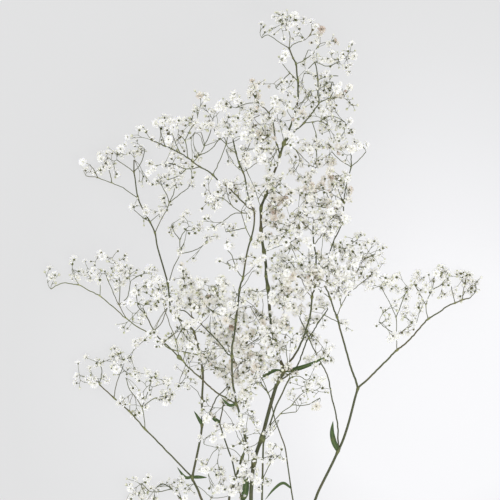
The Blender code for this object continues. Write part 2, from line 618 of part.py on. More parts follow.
def main():
    for obj in list(bpy.data.objects):
        bpy.data.objects.remove(obj, do_unlink=True)
    rng = random.Random(SEED)
    plant = Plant()
    tips, parents = [], {}
    for name, parent, radii, route in rows(BRANCHES):
        r0, r1 = (float(n) for n in radii.split())
        ids = grow_route(plant, name, None if parent == "-" else parent, route, r0, r1)
        parents[name] = parent
        tips.append(ids[-1])
    for names, route in rows(TWIGS):
        name, parent = names.split(":")
        thin = TWIG_R * 1000
        ids = grow_route(plant, name, parent, route, thin * 1.1, thin)
        parents.setdefault(name, parent)
        tips.append(ids[-1])
    tips = [i for i in tips if not plant.kids[i]]

    # Everything that is a stem or a twig takes its room first.
    room = Room()
    for i, parent in enumerate(plant.up):
        if parent is None:
            continue
        a, b = plant.pos[parent], plant.pos[i]
        if plant.piece[parent] != plant.piece[i]:
            ahead = plant.kids[parent]
            along = plant.pos[parent] - plant.pos[plant.up[parent]] if plant.up[parent] is not None else b - a
            a = begin_gap(plant, a, b, plant.rad[parent], plant.rad[i], along.normalized())
        room.take(a, b, max(plant.rad[i], 0.0003), plant.piece[i])

    leaves = []
    for name, parent, width, route in rows(LEAVES):
        first = [float(n) for n in route.split()[0].split(",")]
        base = plant.nearest(parent, first[0], first[1])
        points = [place(u, v, z / 1000) for u, v, z in route_of(route, plant.grid[base][2])]
        points[0] = plant.pos[base]
        way = (points[1] - points[0]).normalized()
        along = (plant.pos[base] - plant.pos[plant.up[base]]).normalized()
        angle = way.angle(along)
        angle = max(math.radians(25), min(angle, math.pi - angle))
        points[0] = points[0] + way * (plant.rad[base] + 0.0006 + GAP) / math.sin(angle)
        leaves.append((name, points, float(width) / 1000))
        for a, b in zip(points, points[1:]):
            room.take(a, b, float(width) / 2000 * 0.8, name)

    # Each flower goes to the nearest tip, which also sets its height.
    shares = {tip: [] for tip in tips}
    for u, v in flowers(rng):
        tip = min(
            tips,
            key=lambda i: math.hypot(plant.grid[i][0] - u, plant.grid[i][1] - v)
            + rng.uniform(0, 5),
        )
        du = math.hypot(plant.grid[tip][0] - u, plant.grid[tip][1] - v)
        z = plant.grid[tip][2] + rng.uniform(-1, 1) * (3.5 + 0.38 * min(du, 22) * 0.7)
        shares[tip].append((u, v, max(z, HEAD_R * 1000 * 0.9)))

    extra = {}
    for tip in tips:
        own = shares[tip]
        chosen = []
        while own and len(chosen) < HEADS_PER_TIP:
            pick = max(
                own,
                key=lambda f: min(
                    [math.dist(f[:2], c[:2]) for c in chosen] or [math.dist(f[:2], plant.grid[tip][:2]) + 1]
                ),
            )
            own.remove(pick)
            at = place(pick[0], pick[1], pick[2] / 1000)
            if (at - plant.pos[tip]).length < 0.0055:
                continue
            if any((at - place(c[0], c[1], c[2] / 1000)).length < 0.0065 for c in chosen):
                continue
            if room.clash(at, at + Vector((0, 0, 1e-5)), HEAD_R * 1.15, ""):
                continue
            chosen.append(pick)
        spots = [place(u, v, z / 1000) for u, v, z in chosen]
        parent = plant.up[tip]
        heading = (plant.pos[tip] - plant.pos[parent]).normalized()
        piece = plant.piece[tip]
        while spots:
            tree = {"pos": [plant.pos[tip]], "up": [None], "head": [False]}
            cyme(tree, 0, heading, spots)
            bad = None
            for k in range(1, len(tree["pos"])):
                a, b = tree["pos"][tree["up"][k]], tree["pos"][k]
                r = HEAD_R * 1.15 if tree["head"][k] else TWIG_R
                if room.clash(a, b, TWIG_R * 1.2, piece) or (
                    tree["head"][k] and room.clash(b, b + Vector((0, 0, 1e-5)), r, piece)
                ):
                    bad = k
                    break
            if bad is None:
                break
            worst = tree["pos"][bad] if tree["head"][bad] else None
            spots.remove(worst if worst in spots else spots[-1])
        if not spots:
            extra[tip] = None
            continue
        extra[tip] = tree
        for k in range(1, len(tree["pos"])):
            a, b = tree["pos"][tree["up"][k]], tree["pos"][k]
            room.take(a, b, TWIG_R * 1.2, piece)
            if tree["head"][k]:
                room.take(b, b + Vector((0, 0, 1e-5)), HEAD_R * 1.15, piece)

    names = list(dict.fromkeys(plant.piece))
    total = 0
    for name in names:
        own = [i for i, p in enumerate(plant.piece) if p == name]
        index, pos, rad, up, heads = {}, [], [], [], []
        root = own[0]
        if plant.up[root] is not None:
            parent = plant.up[root]
            along = (
                plant.pos[parent] - plant.pos[plant.up[parent]]
                if plant.up[parent] is not None
                else plant.pos[root] - plant.pos[parent]
            )
            pos.append(
                begin_gap(plant, plant.pos[parent], plant.pos[root], plant.rad[parent], plant.rad[root], along.normalized())
            )
            rad.append(plant.rad[root])
            up.append(None)
            heads.append(0)
        for i in own:
            index[i] = len(pos)
            pos.append(plant.pos[i])
            rad.append(plant.rad[i])
            up.append(index.get(plant.up[i], 0 if plant.up[i] is not None else None))
            heads.append(0)
            if i in extra:
                if extra[i] is None:
                    heads[-1] = 0 if plant.rad[i] > 0.0006 else HEAD_R * 0.6
                    continue
                base = index[i]
                tree = extra[i]
                shift = {0: base}
                for k in range(1, len(tree["pos"])):
                    shift[k] = len(pos)
                    pos.append(tree["pos"][k])
                    rad.append(TWIG_R)
                    up.append(shift[tree["up"][k]])
                    heads.append(HEAD_R if tree["head"][k] else 0)
        sides = 8 if name == "main_stem" else 3
        if name.startswith("side_stem"):
            sides = 5
        obj = tree_mesh(name, pos, rad, up, heads, sides)
        kind = "stem" if name.split("_")[0] in ("main", "side") else "spray"
        obj.data.materials.append(material(name, kind))
    for name, points, width in leaves:
        obj = leaf_mesh(name, points, width)
        obj.data.materials.append(material(name, "leaf"))
    low = Vector((1e9,) * 3)
    high = Vector((-1e9,) * 3)
    for obj in bpy.data.objects:
        for vert in obj.data.vertices:
            for k in range(3):
                low[k] = min(low[k], vert.co[k])
                high[k] = max(high[k], vert.co[k])
    shift = Vector((-(low[0] + high[0]) / 2, -(low[1] + high[1]) / 2, -low[2]))
    for obj in bpy.data.objects:
        for vert in obj.data.vertices:
            vert.co += shift


main()
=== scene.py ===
"""A cut stem of gypsophila lying on a pale surface: its fine look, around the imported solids.

Metres, +Z up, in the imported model's frame. The routes are the stems' layout in steps of GRID: "u,v" or "u,v,z" with z in
millimetres above the surface.
"""

import math
import random

import bpy
import numpy as np
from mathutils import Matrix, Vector


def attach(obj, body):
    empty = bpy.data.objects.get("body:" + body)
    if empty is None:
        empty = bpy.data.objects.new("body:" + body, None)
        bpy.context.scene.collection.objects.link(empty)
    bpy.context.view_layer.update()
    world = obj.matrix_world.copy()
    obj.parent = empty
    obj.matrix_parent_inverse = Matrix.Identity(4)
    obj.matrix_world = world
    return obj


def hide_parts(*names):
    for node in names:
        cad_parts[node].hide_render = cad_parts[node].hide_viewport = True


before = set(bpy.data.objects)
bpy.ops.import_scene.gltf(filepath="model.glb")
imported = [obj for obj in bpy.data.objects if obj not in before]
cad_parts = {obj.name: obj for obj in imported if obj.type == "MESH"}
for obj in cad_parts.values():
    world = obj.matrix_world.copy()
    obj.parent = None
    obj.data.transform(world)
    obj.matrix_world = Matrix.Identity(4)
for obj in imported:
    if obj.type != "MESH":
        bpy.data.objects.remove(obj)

# Driving dimensions
GRID = 0.0007  # one layout step
EYE = 1.40  # the layout is drawn as seen from straight above, from this far over EYE_U, EYE_V
EYE_U, EYE_V = 250.0, 250.0
MID_Z = 0.040  # height at which one layout step is exactly GRID
ORIGIN_U, ORIGIN_V = 261.991, 362.245  # layout point of the origin, under the middle of the plant
TWIG_R = 0.00034  # radius of the thinnest twigs that are modelled
HEAD_R = 0.0029  # radius of an open flower head
SEED = 41

# name | parent | radius at the start, radius at the end (mm) | route
BRANCHES = """
main_stem | - | 1.55 .50 | 268,700,1.7 266,680,2.6 264,650,5 262,620,9 259,590,14 256,560,19 253,530,24 251,500,29 252,480 254,462 258,448 262,438,40 266,422 270,407 274,393 278,381 284,371,50 280,360 277,350 275,341 272,328 270,314 269,300 268,288 266,276,60 266,266 264,252 262,240 261,230,62 261,219 261,208 263,202 266,195 270,184 272,178 277,165 280,155 284,143,56 289,130 293,120 296,108,50 298,100 298,90 298,81,44 297,75 296,64 293,58 289,48,34
side_stem_right | main_stem | 1.05 .80 | 262,603 272,583 285,560 298,533 307,516 315,500,26 319,490 332,464 338,451,34 343,440 348,425 352,410 355,398 358,388,40
branch_right_long | side_stem_right | .70 .42 | 358,388 368,379 379,368 390,357 397,350,34 404,345 412,337 420,328 428,319,26 438,313 448,306,19 455,303 462,300,14 470,298,12
branch_right_upper | side_stem_right | .75 .50 | 358,388 355,378 351,368 346,350 340,328 337,317,52 334,309 330,298 326,288,62
branch_right_inner | side_stem_right | .55 .38 | 338,451 338,430 336,415 332,397 330,387 327,374,46 320,361 312,345 309,338 300,318,54
side_stem_thin | side_stem_right | .55 .36 | 298,533 297,520 293,500,30 291,488 289,474 287,460 285,447,42 281,436 277,425 275,420 271,402 268,393,54 260,382,58
side_stem_centre | main_stem | .75 .50 | 255,548 260,530 262,515 262,500,36 262.5,480 263,455 264,440,52 269,427 273,415 276,406 282,394 286,385 290,378,64
side_stem_left_centre | main_stem | .90 .45 | 257,575 246,562 236,545 230,525 229,500,31 232,490 237,474 242,458 246,449,44 247,447 242,425 238,408 236,404,54 235,394 233,385 232,370 232,356 232,346,62 234,337 236,320 238,304 239.5,290 241,283 243,278,68 246,258 249,245 251,239,71 254,225 254,211,73 250,203 247,190 245,178 243,172,74 239,163 236,153 233,140,70
side_stem_left | main_stem | .95 .42 | 259,592 250,578 236,558 218,528 207,510 201,498,15 198,490 194,482 192.5,477,16 197,455 200,440 202,425,22 202,400 203,380 202.5,370 200,355 197,343 194,332,27 190,327 175,316 171,311,26 170,305 168,285,24 165,273 160,256 157,245 155,233,18 150,222 145,213 138,198,12 135,178 134,172,9 134,160,7
side_stem_short | main_stem | .70 .40 | 254,537 249,520 242,500,24 240,490 236,478 232,460 228,449,31 221,428 220,422,36 222,412 224,400,40
branch_left_high | side_stem_left_centre | .60 .38 | 236,404 228,399 219,394 210,387 203,380 196,374 187,366 183,361 179,357,64 165,343 158,337 154,331,68 146,315 143,308,70
branch_left_cross | side_stem_left_centre | .50 .36 | 232,362 228,354 222,346 217,340 208,331 200,323 192,317 185,311 178,310,56
branch_left_inner | side_stem_left | .50 .36 | 202,425 209,415 213,405 218,396 230,385 240,375 250,367,36
branch_left_low | side_stem_left | .62 .38 | 193,477 185,470 162,446 145,429,11 130,412 114,398 99,384,6 95,379,5
branch_left_middle | side_stem_left | .55 .38 | 199,352 185,352 170,349 160,341 150,334 135,325 126,318,15 112,306 100,296,10 90,291 79,285,8 70,284 62,283,5 51,289,2.6
branch_upper_left | side_stem_left_centre | .55 .38 | 254,213 247,206 235,194 228,187 219,181 213,175,70 206,170 200,167 193,162,66 188,158 180,153 165,146,56 158,143 151,140,50
branch_centre | main_stem | .75 .45 | 284,371 287,365 294,356 300,346 304,336 308,323 311,310 312,297,58 314,290 315,283 316,258 314,245 313,232 313,222,60
branch_centre_low | main_stem | .55 .38 | 279,379 287,376 296,368 302,354 306,343 309,337,44 313,332 318,323 324,315 328,309,42
branch_right_top | branch_right_upper | .48 .36 | 326,288 327,275 328,260 333,243 342,223 344,202,58 346,187 351,167,50 351,155,47
branch_top_right | main_stem | .55 .38 | 284,143 295,131 304,123,54 312,113 319,103,48 318,95 318,80 315,62,38
branch_top_left | main_stem | .50 .36 | 279,158 276,140 273,123 269,113,62 258,102 252,92,58
branch_bottom_left | side_stem_left | .50 .36 | 212,519 197,512 181,499 172,489,9 163,484,8 157,487,6
"""

# Twigs. A twig with its parent's name before the colon grows on it as one piece; any other name starts a new spray.
TWIGS = """
main_stem:main_stem | 289,48 279,42 268,35 262,38,30
main_stem:main_stem | 289,48 296,43 305,40,30
main_stem:main_stem | 289,48 290,36 286,24,32
main_stem:main_stem | 298,84 290,73 281,62,52
main_stem:main_stem | 290,73 283,80 276,88,50
main_stem:main_stem | 296,68 304,60 308,50,30
main_stem:main_stem | 304,60 312,54 320,44,22
branch_top_right:branch_top_right | 315,62 309,68 304,74,34
branch_top_right:branch_top_right | 315,62 328,66 342,60,26
branch_top_right:branch_top_right | 318,80 328,76 338,76,32
spray_top_right:branch_top_right | 319,103 330,98 342,98,34
spray_top_right:spray_top_right | 330,98 334,90 333,82,40
spray_upper_right:branch_top_right | 304,123 312,122 320,121,44 329,126,38
spray_upper_right:spray_upper_right | 320,121 332,116 345,122,30
spray_upper_right:spray_upper_right | 312,122 316,134 318,146,44
branch_top_left:branch_top_left | 269,113 262,114 254,118,56
branch_top_left:branch_top_left | 258,102 246,104 236,108,50
branch_top_left:branch_top_left | 269,113 275,104 278,97,66
side_stem_left_centre:side_stem_left_centre | 236,153 228,147 224,137,66
side_stem_left_centre:side_stem_left_centre | 239,163 246,152 252,138,74
spray_upper_mid:branch_upper_left | 213,175 220,160 226,144,66 230,124,58
spray_upper_mid:spray_upper_mid | 226,144 216,134 212,122,52
spray_upper_left:branch_upper_left | 193,162 198,156 204,146,60 201,132,50
spray_upper_left:spray_upper_left | 204,146 210,134 213,120,46
spray_upper_left:spray_upper_left | 198,156 210,150 218,141,62
spray_left_top:branch_upper_left | 190,160 185,141,62 178,134,54
spray_left_top:spray_left_top | 185,141 190,130 196,122,50
branch_upper_left:branch_upper_left | 165,146 162,136 160,128,46
branch_upper_left:branch_upper_left | 180,153 176,144 172,133,54
spray_left_under:branch_upper_left | 197,165 186,169 176,165,56 166,163,48
spray_left_under:spray_left_under | 186,169 178,176 168,180,48
side_stem_left:side_stem_left | 134,172 126,166 117,160,4
side_stem_left:side_stem_left | 134,172 141,163 145,150,5
spray_left_far:side_stem_left | 138,198 123,188 112,183,6 98,178,3.5 86,176,1.8
spray_left_far:spray_left_far | 112,183 110,174 108,165,4
spray_left_far:spray_left_far | 98,178 94,170 90,165,3.5
spray_left_fork:side_stem_left | 155,233 161,220 169,203,28 163,188,30
spray_left_fork:spray_left_fork | 169,203 174,192 175,182,34
spray_left_fork:spray_left_fork | 169,203 180,194 188,188,36
spray_left_low:side_stem_left | 167,279 174,266 180,254,30 180,240,34 186,229,36
spray_left_low:spray_left_low | 180,254 193,251 202,246,40 210,237,44
spray_left_low:spray_left_low | 180,240 174,232 172,224,32
spray_mid_left:side_stem_left_centre | 254,217 243,213 231,205,70 224,199,70 212,195,66
spray_mid_left:spray_mid_left | 231,205 228,196 226,188,66
spray_mid_left:spray_mid_left | 243,213 233,214 222,222,74
spray_crown:main_stem | 284,145 296,150 306,161,44
spray_crown:spray_crown | 296,150 300,160 296,170,46
branch_right_top:branch_right_top | 351,167 359,160 366,152,42
branch_right_top:branch_right_top | 351,167 340,160 332,152,44
branch_right_top:branch_right_top | 344,202 338,190 336,178,54
spray_right_mid:branch_right_top | 342,223 335,212 329,200,60 326,190,56
spray_right_mid:spray_right_mid | 335,212 326,208 316,206,60
spray_heart:main_stem | 266,195 274,190 281,180,66
spray_heart:spray_heart | 274,190 282,196 288,206,68
spray_heart_left:main_stem | 262,226 272,220 276,208,68
spray_heart_left:spray_heart_left | 272,220 282,224 292,226,70
branch_centre:branch_centre | 314,245 322,234 328,222,64
branch_centre:branch_centre | 313,232 304,224 298,214,66
spray_left_heart:side_stem_left_centre | 251,239 246,228 241,212,76
spray_left_heart:spray_left_heart | 246,228 236,230 226,232,72
spray_right_high:branch_right_upper | 337,317 341,306 348,293,54 354,277,54 362,262,52
spray_right_high:spray_right_high | 348,293 358,286 372,274,46
spray_right_high:spray_right_high | 354,277 352,262 348,248,58
spray_right_high:spray_right_high | 341,306 339,292 338,278,60
branch_right_upper:branch_right_upper | 330,298 322,292 312,284,70
spray_dark:branch_centre | 312,300 306,290 300,276,66 290,262,68
spray_dark:spray_dark | 306,290 296,290 284,292,70
branch_right_long:branch_right_long | 462,300 464,288 466,278,6.5
branch_right_long:branch_right_long | 470,298 476,290 475,283,4.6
branch_right_long:branch_right_long | 455,303 452,290 448,278,16
spray_right_inner:branch_right_long | 397,350 396.5,335,40 396,318,42 389,302,40 382,288,36
spray_right_inner:spray_right_inner | 396,318 402,302 408,288,32
spray_right_inner:spray_right_inner | 396.5,335 386,328 379,322,46
spray_right_inner:spray_right_inner | 396.5,335 408,328 416,324,36
spray_right_outer:branch_right_long | 428,319 426,305 432,290,34 434,278,38
spray_right_outer:spray_right_outer | 426,305 420,294 414,284,30
spray_right_outer:spray_right_outer | 432,290 442,284 448,272,40
branch_left_middle:branch_left_middle | 79,285 75,278 72,270,5
branch_left_middle:branch_left_middle | 100,296 100,282 95,268,8
spray_left_mid:branch_left_middle | 126,318 119,305,22 112,290,24 106,275,22
spray_left_mid:spray_left_mid | 119,305 128,296 130,282,26
spray_left_mid:spray_left_mid | 119,305 120,286 118,268,28
branch_left_low:branch_left_low | 99,384 90,378 80,376,3.5
branch_left_low:branch_left_low | 99,384 102,373 100,364,4
branch_left_low:branch_left_low | 114,398 117,382 123,366,8
spray_low_left:branch_left_low | 145,429 142,407,20 130,390,20 126,378,20
spray_low_left:spray_low_left | 142,407 147,395 151,382,24
spray_low_left:spray_low_left | 142,407 155,398 166,396,20
branch_left_high:branch_left_high | 154,331 162,322 167,308,74
branch_left_high:branch_left_high | 146,315 138,306 136,292,68
spray_high_left:branch_left_high | 179,357 176,340,72 170,325,76 162,300,78
spray_high_left:spray_high_left | 176,340 182,328 178,318,78
branch_left_cross:branch_left_cross | 192,317 190,303 186,290,58
branch_left_cross:branch_left_cross | 200,323 206,308 211,294,62
spray_cross:side_stem_left_centre | 236,322 226,314 220,300,72 214,288,70
spray_cross:spray_cross | 226,314 216,314 206,306,70
side_stem_left_centre:side_stem_left_centre | 243,278 236,270 227,262,66
side_stem_left_centre:side_stem_left_centre | 236,270 232,256 224,246,66
branch_left_inner:branch_left_inner | 240,375 236,364 230,352,40
branch_left_inner:branch_left_inner | 230,385 232,376 238,366,34
side_stem_thin:side_stem_thin | 268,393 262,378 256,362,62
side_stem_thin:side_stem_thin | 268,393 275,386 280,372,62
side_stem_centre:side_stem_centre | 290,378 288,364 286,346,70
side_stem_centre:side_stem_centre | 290,378 298,376 306,380,66
spray_white:side_stem_centre | 270,424 280,414,58 292,405,60 303,393,60 316,390,58
spray_white:spray_white | 292,405 306,405 320,398,54
spray_white:spray_white | 280,414 296,412,52
spray_base:main_stem | 253,468 246,474,38 249,458,44 246,450,46
spray_base:spray_base | 246,474 250,484,42 256,478,44
side_stem_centre:side_stem_centre | 263,469 270,464 278,456,46
side_stem_centre:side_stem_centre | 270,464 272,452 276,444,52
branch_bottom_left:branch_bottom_left | 181,499 178,488 178,478,12
branch_bottom_left:branch_bottom_left | 172,489 152,492 142,484,5
branch_centre_low:branch_centre_low | 318,323 312,320 306,322,44
branch_centre_low:branch_centre_low | 324,315 334,320 344,325,36
spray_warm:main_stem | 275,341 266,334 258,320,62 250,306,62
spray_warm:spray_warm | 266,334 256,340 246,346,60
"""

# name | parent | width (mm) | route, from the joint to the tip
LEAVES = """
leaf_right_joint | side_stem_right | 3.6 | 338,451 334,442,39 332,432,44 333,421,48
leaf_left_crescent | side_stem_short | 2.6 | 220,422 216,420,38 212,416,40 210,409,42
leaf_base | side_stem_short | 4.4 | 242,501 245,493,30 246,480,33 242,466,34
leaf_centre_left | main_stem | 2.4 | 283,371 273,371,53 264,376,54 255,376,53
leaf_centre_right | main_stem | 2.9 | 285,370 296,369,56 311,364,60 325,357,61
leaf_thin_stem | side_stem_thin | 1.9 | 291,484 283,483,40 274,489,43 265,500,44
leaf_left_right | side_stem_left | 2.3 | 193,477 199,477,20 207,477.5,22
leaf_left_left | side_stem_left | 2.1 | 192.5,478 185,477,17 177,467,18
leaf_left_upper | side_stem_left | 2.2 | 202,425 199,419,26 194,411,28
leaf_joint_centre | side_stem_left_centre | 2.0 | 236,405 229,405,56 221,397,57
leaf_stem_left | main_stem | 4.2 | 263,642 252,626,7 243,610,4.5 238,596,2.5
leaf_stem_right | main_stem | 4.2 | 263,638 275,626,8 285,611,6 290,596,3
"""

# Where the flowers stand: centre, half width, half height, flowers per 1000 square steps
MASSES = """
287,27,27,14,14; 320,42,9,14,9; 342,60,15,12,14; 310,75,15,20,8; 333,95,18,16,20; 280,90,12,10,12; 262,95,14,12,14
232,112,14,14,14; 210,105,18,12,8; 200,122,14,6,18; 170,130,24,14,15; 250,125,22,16,13; 335,125,16,14,14; 325,150,22,12,15
362,150,10,6,12; 325,185,25,20,20; 275,195,14,16,20; 240,190,20,12,18; 295,160,12,12,9; 265,215,18,12,18; 285,225,20,14,20
320,215,22,18,20; 355,258,28,22,19; 300,285,35,25,19; 340,280,14,14,14; 210,295,22,20,19; 225,315,14,14,14; 180,295,20,18,16
150,290,15,22,15; 115,268,20,18,15; 65,272,16,12,11; 95,270,14,12,11; 90,168,10,8,16; 112,160,10,12,15; 130,145,12,8,16
165,178,20,12,14; 215,230,22,14,9; 185,225,12,12,10; 250,355,30,18,19; 235,380,25,20,12; 305,390,20,15,11; 445,282,32,12,18
395,284,26,8,13; 395,320,22,16,8; 90,368,18,12,13; 125,362,14,10,13; 150,385,18,12,14; 150,488,22,12,11; 250,464,14,18,13
133,330,10,12,8; 312,325,16,14,10; 276,452,9,12,11; 255,320,18,18,12
"""

def place(u, v, z):
    """Layout point, with z in metres, to the object's own frame."""
    s = (EYE - (z - MID_Z)) / EYE
    return Vector(
        (
            ((u - EYE_U) * s + EYE_U - ORIGIN_U) * GRID,
            ((EYE_V - v) * s + ORIGIN_V - EYE_V) * GRID,
            z,
        )
    )


def route_of(text, first_z=None):
    """The layout points of a route, each with a z in millimetres."""
    rows = [[float(n) for n in token.split(",")] for token in text.split()]
    if len(rows[0]) == 2:
        rows[0].append(first_z)
    known = [i for i, row in enumerate(rows) if len(row) == 3]
    run = [0.0]
    for a, b in zip(rows, rows[1:]):
        run.append(run[-1] + math.hypot(b[0] - a[0], b[1] - a[1]))
    out = []
    for i, row in enumerate(rows):
        if len(row) == 2:
            lo = max(k for k in known if k < i)
            hi = min([k for k in known if k > i], default=lo)
            t = (run[i] - run[lo]) / (run[hi] - run[lo]) if hi > lo else 0.0
            row = row + [rows[lo][2] + (rows[hi][2] - rows[lo][2]) * t]
        out.append(tuple(row))
    return out


class Plant:
    """Nodes of the whole plant: a position, a radius, a parent and the piece that each belongs to."""

    def __init__(self):
        self.pos, self.rad, self.up, self.piece, self.grid = [], [], [], [], []
        self.kids = []

    def add(self, uvz, rad, up, piece):
        self.pos.append(place(uvz[0], uvz[1], uvz[2] / 1000))
        self.grid.append(uvz)
        self.rad.append(rad)
        self.up.append(up)
        self.piece.append(piece)
        self.kids.append([])
        if up is not None:
            self.kids[up].append(len(self.pos) - 1)
        return len(self.pos) - 1

    def nearest(self, piece, u, v):
        at = [i for i, p in enumerate(self.piece) if p == piece]
        return min(
            at, key=lambda i: (self.grid[i][0] - u) ** 2 + (self.grid[i][1] - v) ** 2
        )


def grow_route(plant, piece, parent, route, r0, r1):
    first = [float(n) for n in route.split()[0].split(",")]
    up = None if parent is None else plant.nearest(parent, first[0], first[1])
    points = route_of(route, None if up is None else plant.grid[up][2])
    total = len(points) - 1
    ids = []
    for i, point in enumerate(points):
        if i == 0 and up is not None:
            ids.append(up)
            continue
        rad = (r0 + (r1 - r0) * i / total) / 1000
        ids.append(plant.add(point, rad, ids[-1] if ids else None, piece))
    return ids


def flowers(rng, table=MASSES):
    """Layout positions of the open flowers, spread evenly over each mass."""
    found = []
    for entry in table.replace("\n", ";").split(";"):
        if not entry.strip():
            continue
        cu, cv, ru, rv, density = (float(n) for n in entry.split(","))
        count = max(3, round(math.pi * ru * rv * density / 1000))
        for _ in range(count):
            best, best_gap = None, -1.0
            for _ in range(8):
                a, q = rng.uniform(0, math.tau), math.sqrt(rng.random())
                u, v = cu + ru * 1.05 * q * math.cos(a), cv + rv * 1.05 * q * math.sin(a)
                gap = min(
                    ((u - f[0]) ** 2 + (v - f[1]) ** 2 for f in found), default=1e9
                )
                if gap > best_gap:
                    best, best_gap = (u, v), gap
            found.append(best)
    return found


def split(points, root):
    """Two groups of the points, parted across their widest spread; the root is not used."""
    mid = sum(points, Vector()) / len(points)
    far = max(points, key=lambda p: (p - mid).length)
    other = max(points, key=lambda p: (p - far).length)
    axis = other - far
    order = sorted(points, key=lambda p: p.dot(axis))
    half = len(order) // 2
    return order[:half], order[half:]


def cyme(tree, root, heading, targets):
    """Forks again and again from the root until each target has a stalk of its own."""
    here = tree["pos"][root]
    if len(targets) == 1:
        tree["pos"].append(targets[0])
        tree["up"].append(root)
        tree["head"].append(True)
        return
    for group in split(targets, here):
        if len(group) == 1:
            cyme(tree, root, heading, group)
            continue
        mid = sum(group, Vector()) / len(group)
        reach = min((p - here).length for p in group)
        step = (mid - here).normalized() * 0.75 + heading * 0.25
        fork = here + step.normalized() * min(0.5 * (mid - here).length, 0.6 * reach)
        tree["pos"].append(fork)
        tree["up"].append(root)
        tree["head"].append(False)
        cyme(tree, len(tree["pos"]) - 1, (fork - here).normalized(), group)


def rows(table):
    return [
        [cell.strip() for cell in line.split("|")]
        for line in table.strip().splitlines()
    ]


# ---------------------------------------------------------------------------------------------------------------
# Looks
SHIFT_X = 0.00063122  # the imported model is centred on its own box

# Thin stems that only the fine look shows. Each grows on the piece named after the colon.
FINE_TWIGS = """
side_stem_left_centre:side_stem_left_centre | 243,172 250,168 257,163,72 266,162 271,158,70 277,150,70
side_stem_left_centre:side_stem_left_centre | 257,163 258,156 260,150,74
side_stem_left_centre:side_stem_left_centre | 243,172 236,166 231,159,66 226,150,62
spray_upper_mid:spray_upper_mid | 226,144 233,142 242,138,60 254,136,56 266,139,54
spray_upper_mid:spray_upper_mid | 242,138 245,132 247,126,62
spray_upper_left:spray_upper_left | 204,146 212,143 219,140,66 230,134,68
spray_upper_left:spray_upper_left | 204,146 200,136 195,132,60
spray_upper_right:spray_upper_right | 316,134 316,146 317,158,48 317,167,50
spray_crown:spray_crown | 306,161 312,166 318,168,44
main_stem:main_stem | 293,120 288,112 282,102,62 276,98,64
main_stem:main_stem | 296,108 302,102 308,94,42 311,90,40
main_stem:main_stem | 284,143 282,132 278,122,52
main_stem:main_stem | 261,208 258,199 254,187,72 250,178,74
main_stem:main_stem | 258,199 264,191 268,183,70
main_stem:main_stem | 264,252 272,249 280,246,58 288,244,56 297,238,54
main_stem:main_stem | 264,252 270,242 267,233,68
main_stem:main_stem | 267,285 258,292 250,289,62
main_stem:main_stem | 275,341 268,334 261,320,60 256,309,62 248,302,64 240,296,66
main_stem:main_stem | 261,320 263,308 262,292,64
main_stem:main_stem | 272,328 262,335 254,341,66
main_stem:main_stem | 272,328 280,325 289,321,66
main_stem:main_stem | 280,325 284,316 283,306,68
main_stem:main_stem | 284,371 289,362 290,350,58 291,339,60
main_stem:main_stem | 262,438 256,427 248,413,52 246,402,54
main_stem:main_stem | 262,438 256,444 249,447,48 243,440,50
spray_heart_left:spray_heart_left | 272,220 280,233 290,243,62 300,252,60 309,260,60
spray_heart_left:spray_heart_left | 290,243 289,252 282,263,58
spray_heart_left:spray_heart_left | 290,243 296,258 303,271,64
branch_centre:branch_centre | 312,297 311,288 309,272,64 309,256,66 308,240,66
branch_centre:branch_centre | 315,283 320,272 321,256,64 323,236,62
side_stem_left_centre:side_stem_left_centre | 243,278 251,270 258,261,66
side_stem_left_centre:side_stem_left_centre | 239.5,290 246,282 252,272,64
side_stem_left_centre:side_stem_left_centre | 236,404 242,398 248,388,58 254,377,60 260,362,62
side_stem_left_centre:side_stem_left_centre | 246,449 238,437 231,420,48 223,409,50
side_stem_left_centre:side_stem_left_centre | 246,449 240,432 234,424,56
side_stem_left_centre:side_stem_left_centre | 246,449 246,430 248,415,60
side_stem_left_centre:side_stem_left_centre | 242,458 232,449 218,448,36 204,444,34
side_stem_left_centre:side_stem_left_centre | 218,448 212,454 208,462,38
side_stem_left:side_stem_left | 202.5,370 207,361 213,347,36 219,337,38 229,328,40 241,321,42
side_stem_left:side_stem_left | 219,337 214,326 212,312,42
side_stem_left:side_stem_left | 200,355 207,359 215,367,24 223,376,22
side_stem_left:side_stem_left | 202,400 196,390 186,383,16 180,384,14
side_stem_left:side_stem_left | 150,222 142,217 134,210,14
side_stem_left:side_stem_left | 150,222 158,215 166,208,18
side_stem_left:side_stem_left | 207,510 211,498,20 216,488,22 221,477,24 218,464,26
side_stem_left:side_stem_left | 211,498 203,490 194,484,18
side_stem_left:side_stem_left | 211,498 224,497 235,493,26
side_stem_left:side_stem_left | 216,488 211,480 208,472,26
branch_left_high:branch_left_high | 183,361 186,350 191,338,62 197,329,64 205,320,66 213,311,68 222,303,70
branch_left_high:branch_left_high | 191,338 186,330 184,322,66
branch_left_cross:branch_left_cross | 192,317 191,305 198,297,52 208,296,52 216,295,52
side_stem_centre:side_stem_centre | 264,440 271,434 276,427,56 279,420,58
side_stem_centre:side_stem_centre | 263,480 268,486 272,480,42
side_stem_thin:side_stem_thin | 268,393 262,387 254,381,56
side_stem_short:side_stem_short | 224,400 228,392 226,386,42
branch_right_top:branch_right_top | 344,202 347,192 346,182,60
branch_right_top:branch_right_top | 342,223 336,232 334,240,60
branch_right_inner:branch_right_inner | 309,338 316,340 322,346,50
branch_left_low:branch_left_low | 130,412 130,402 133,394,10
spray_low_left:spray_low_left | 155,398 162,400 170,401,22
"""

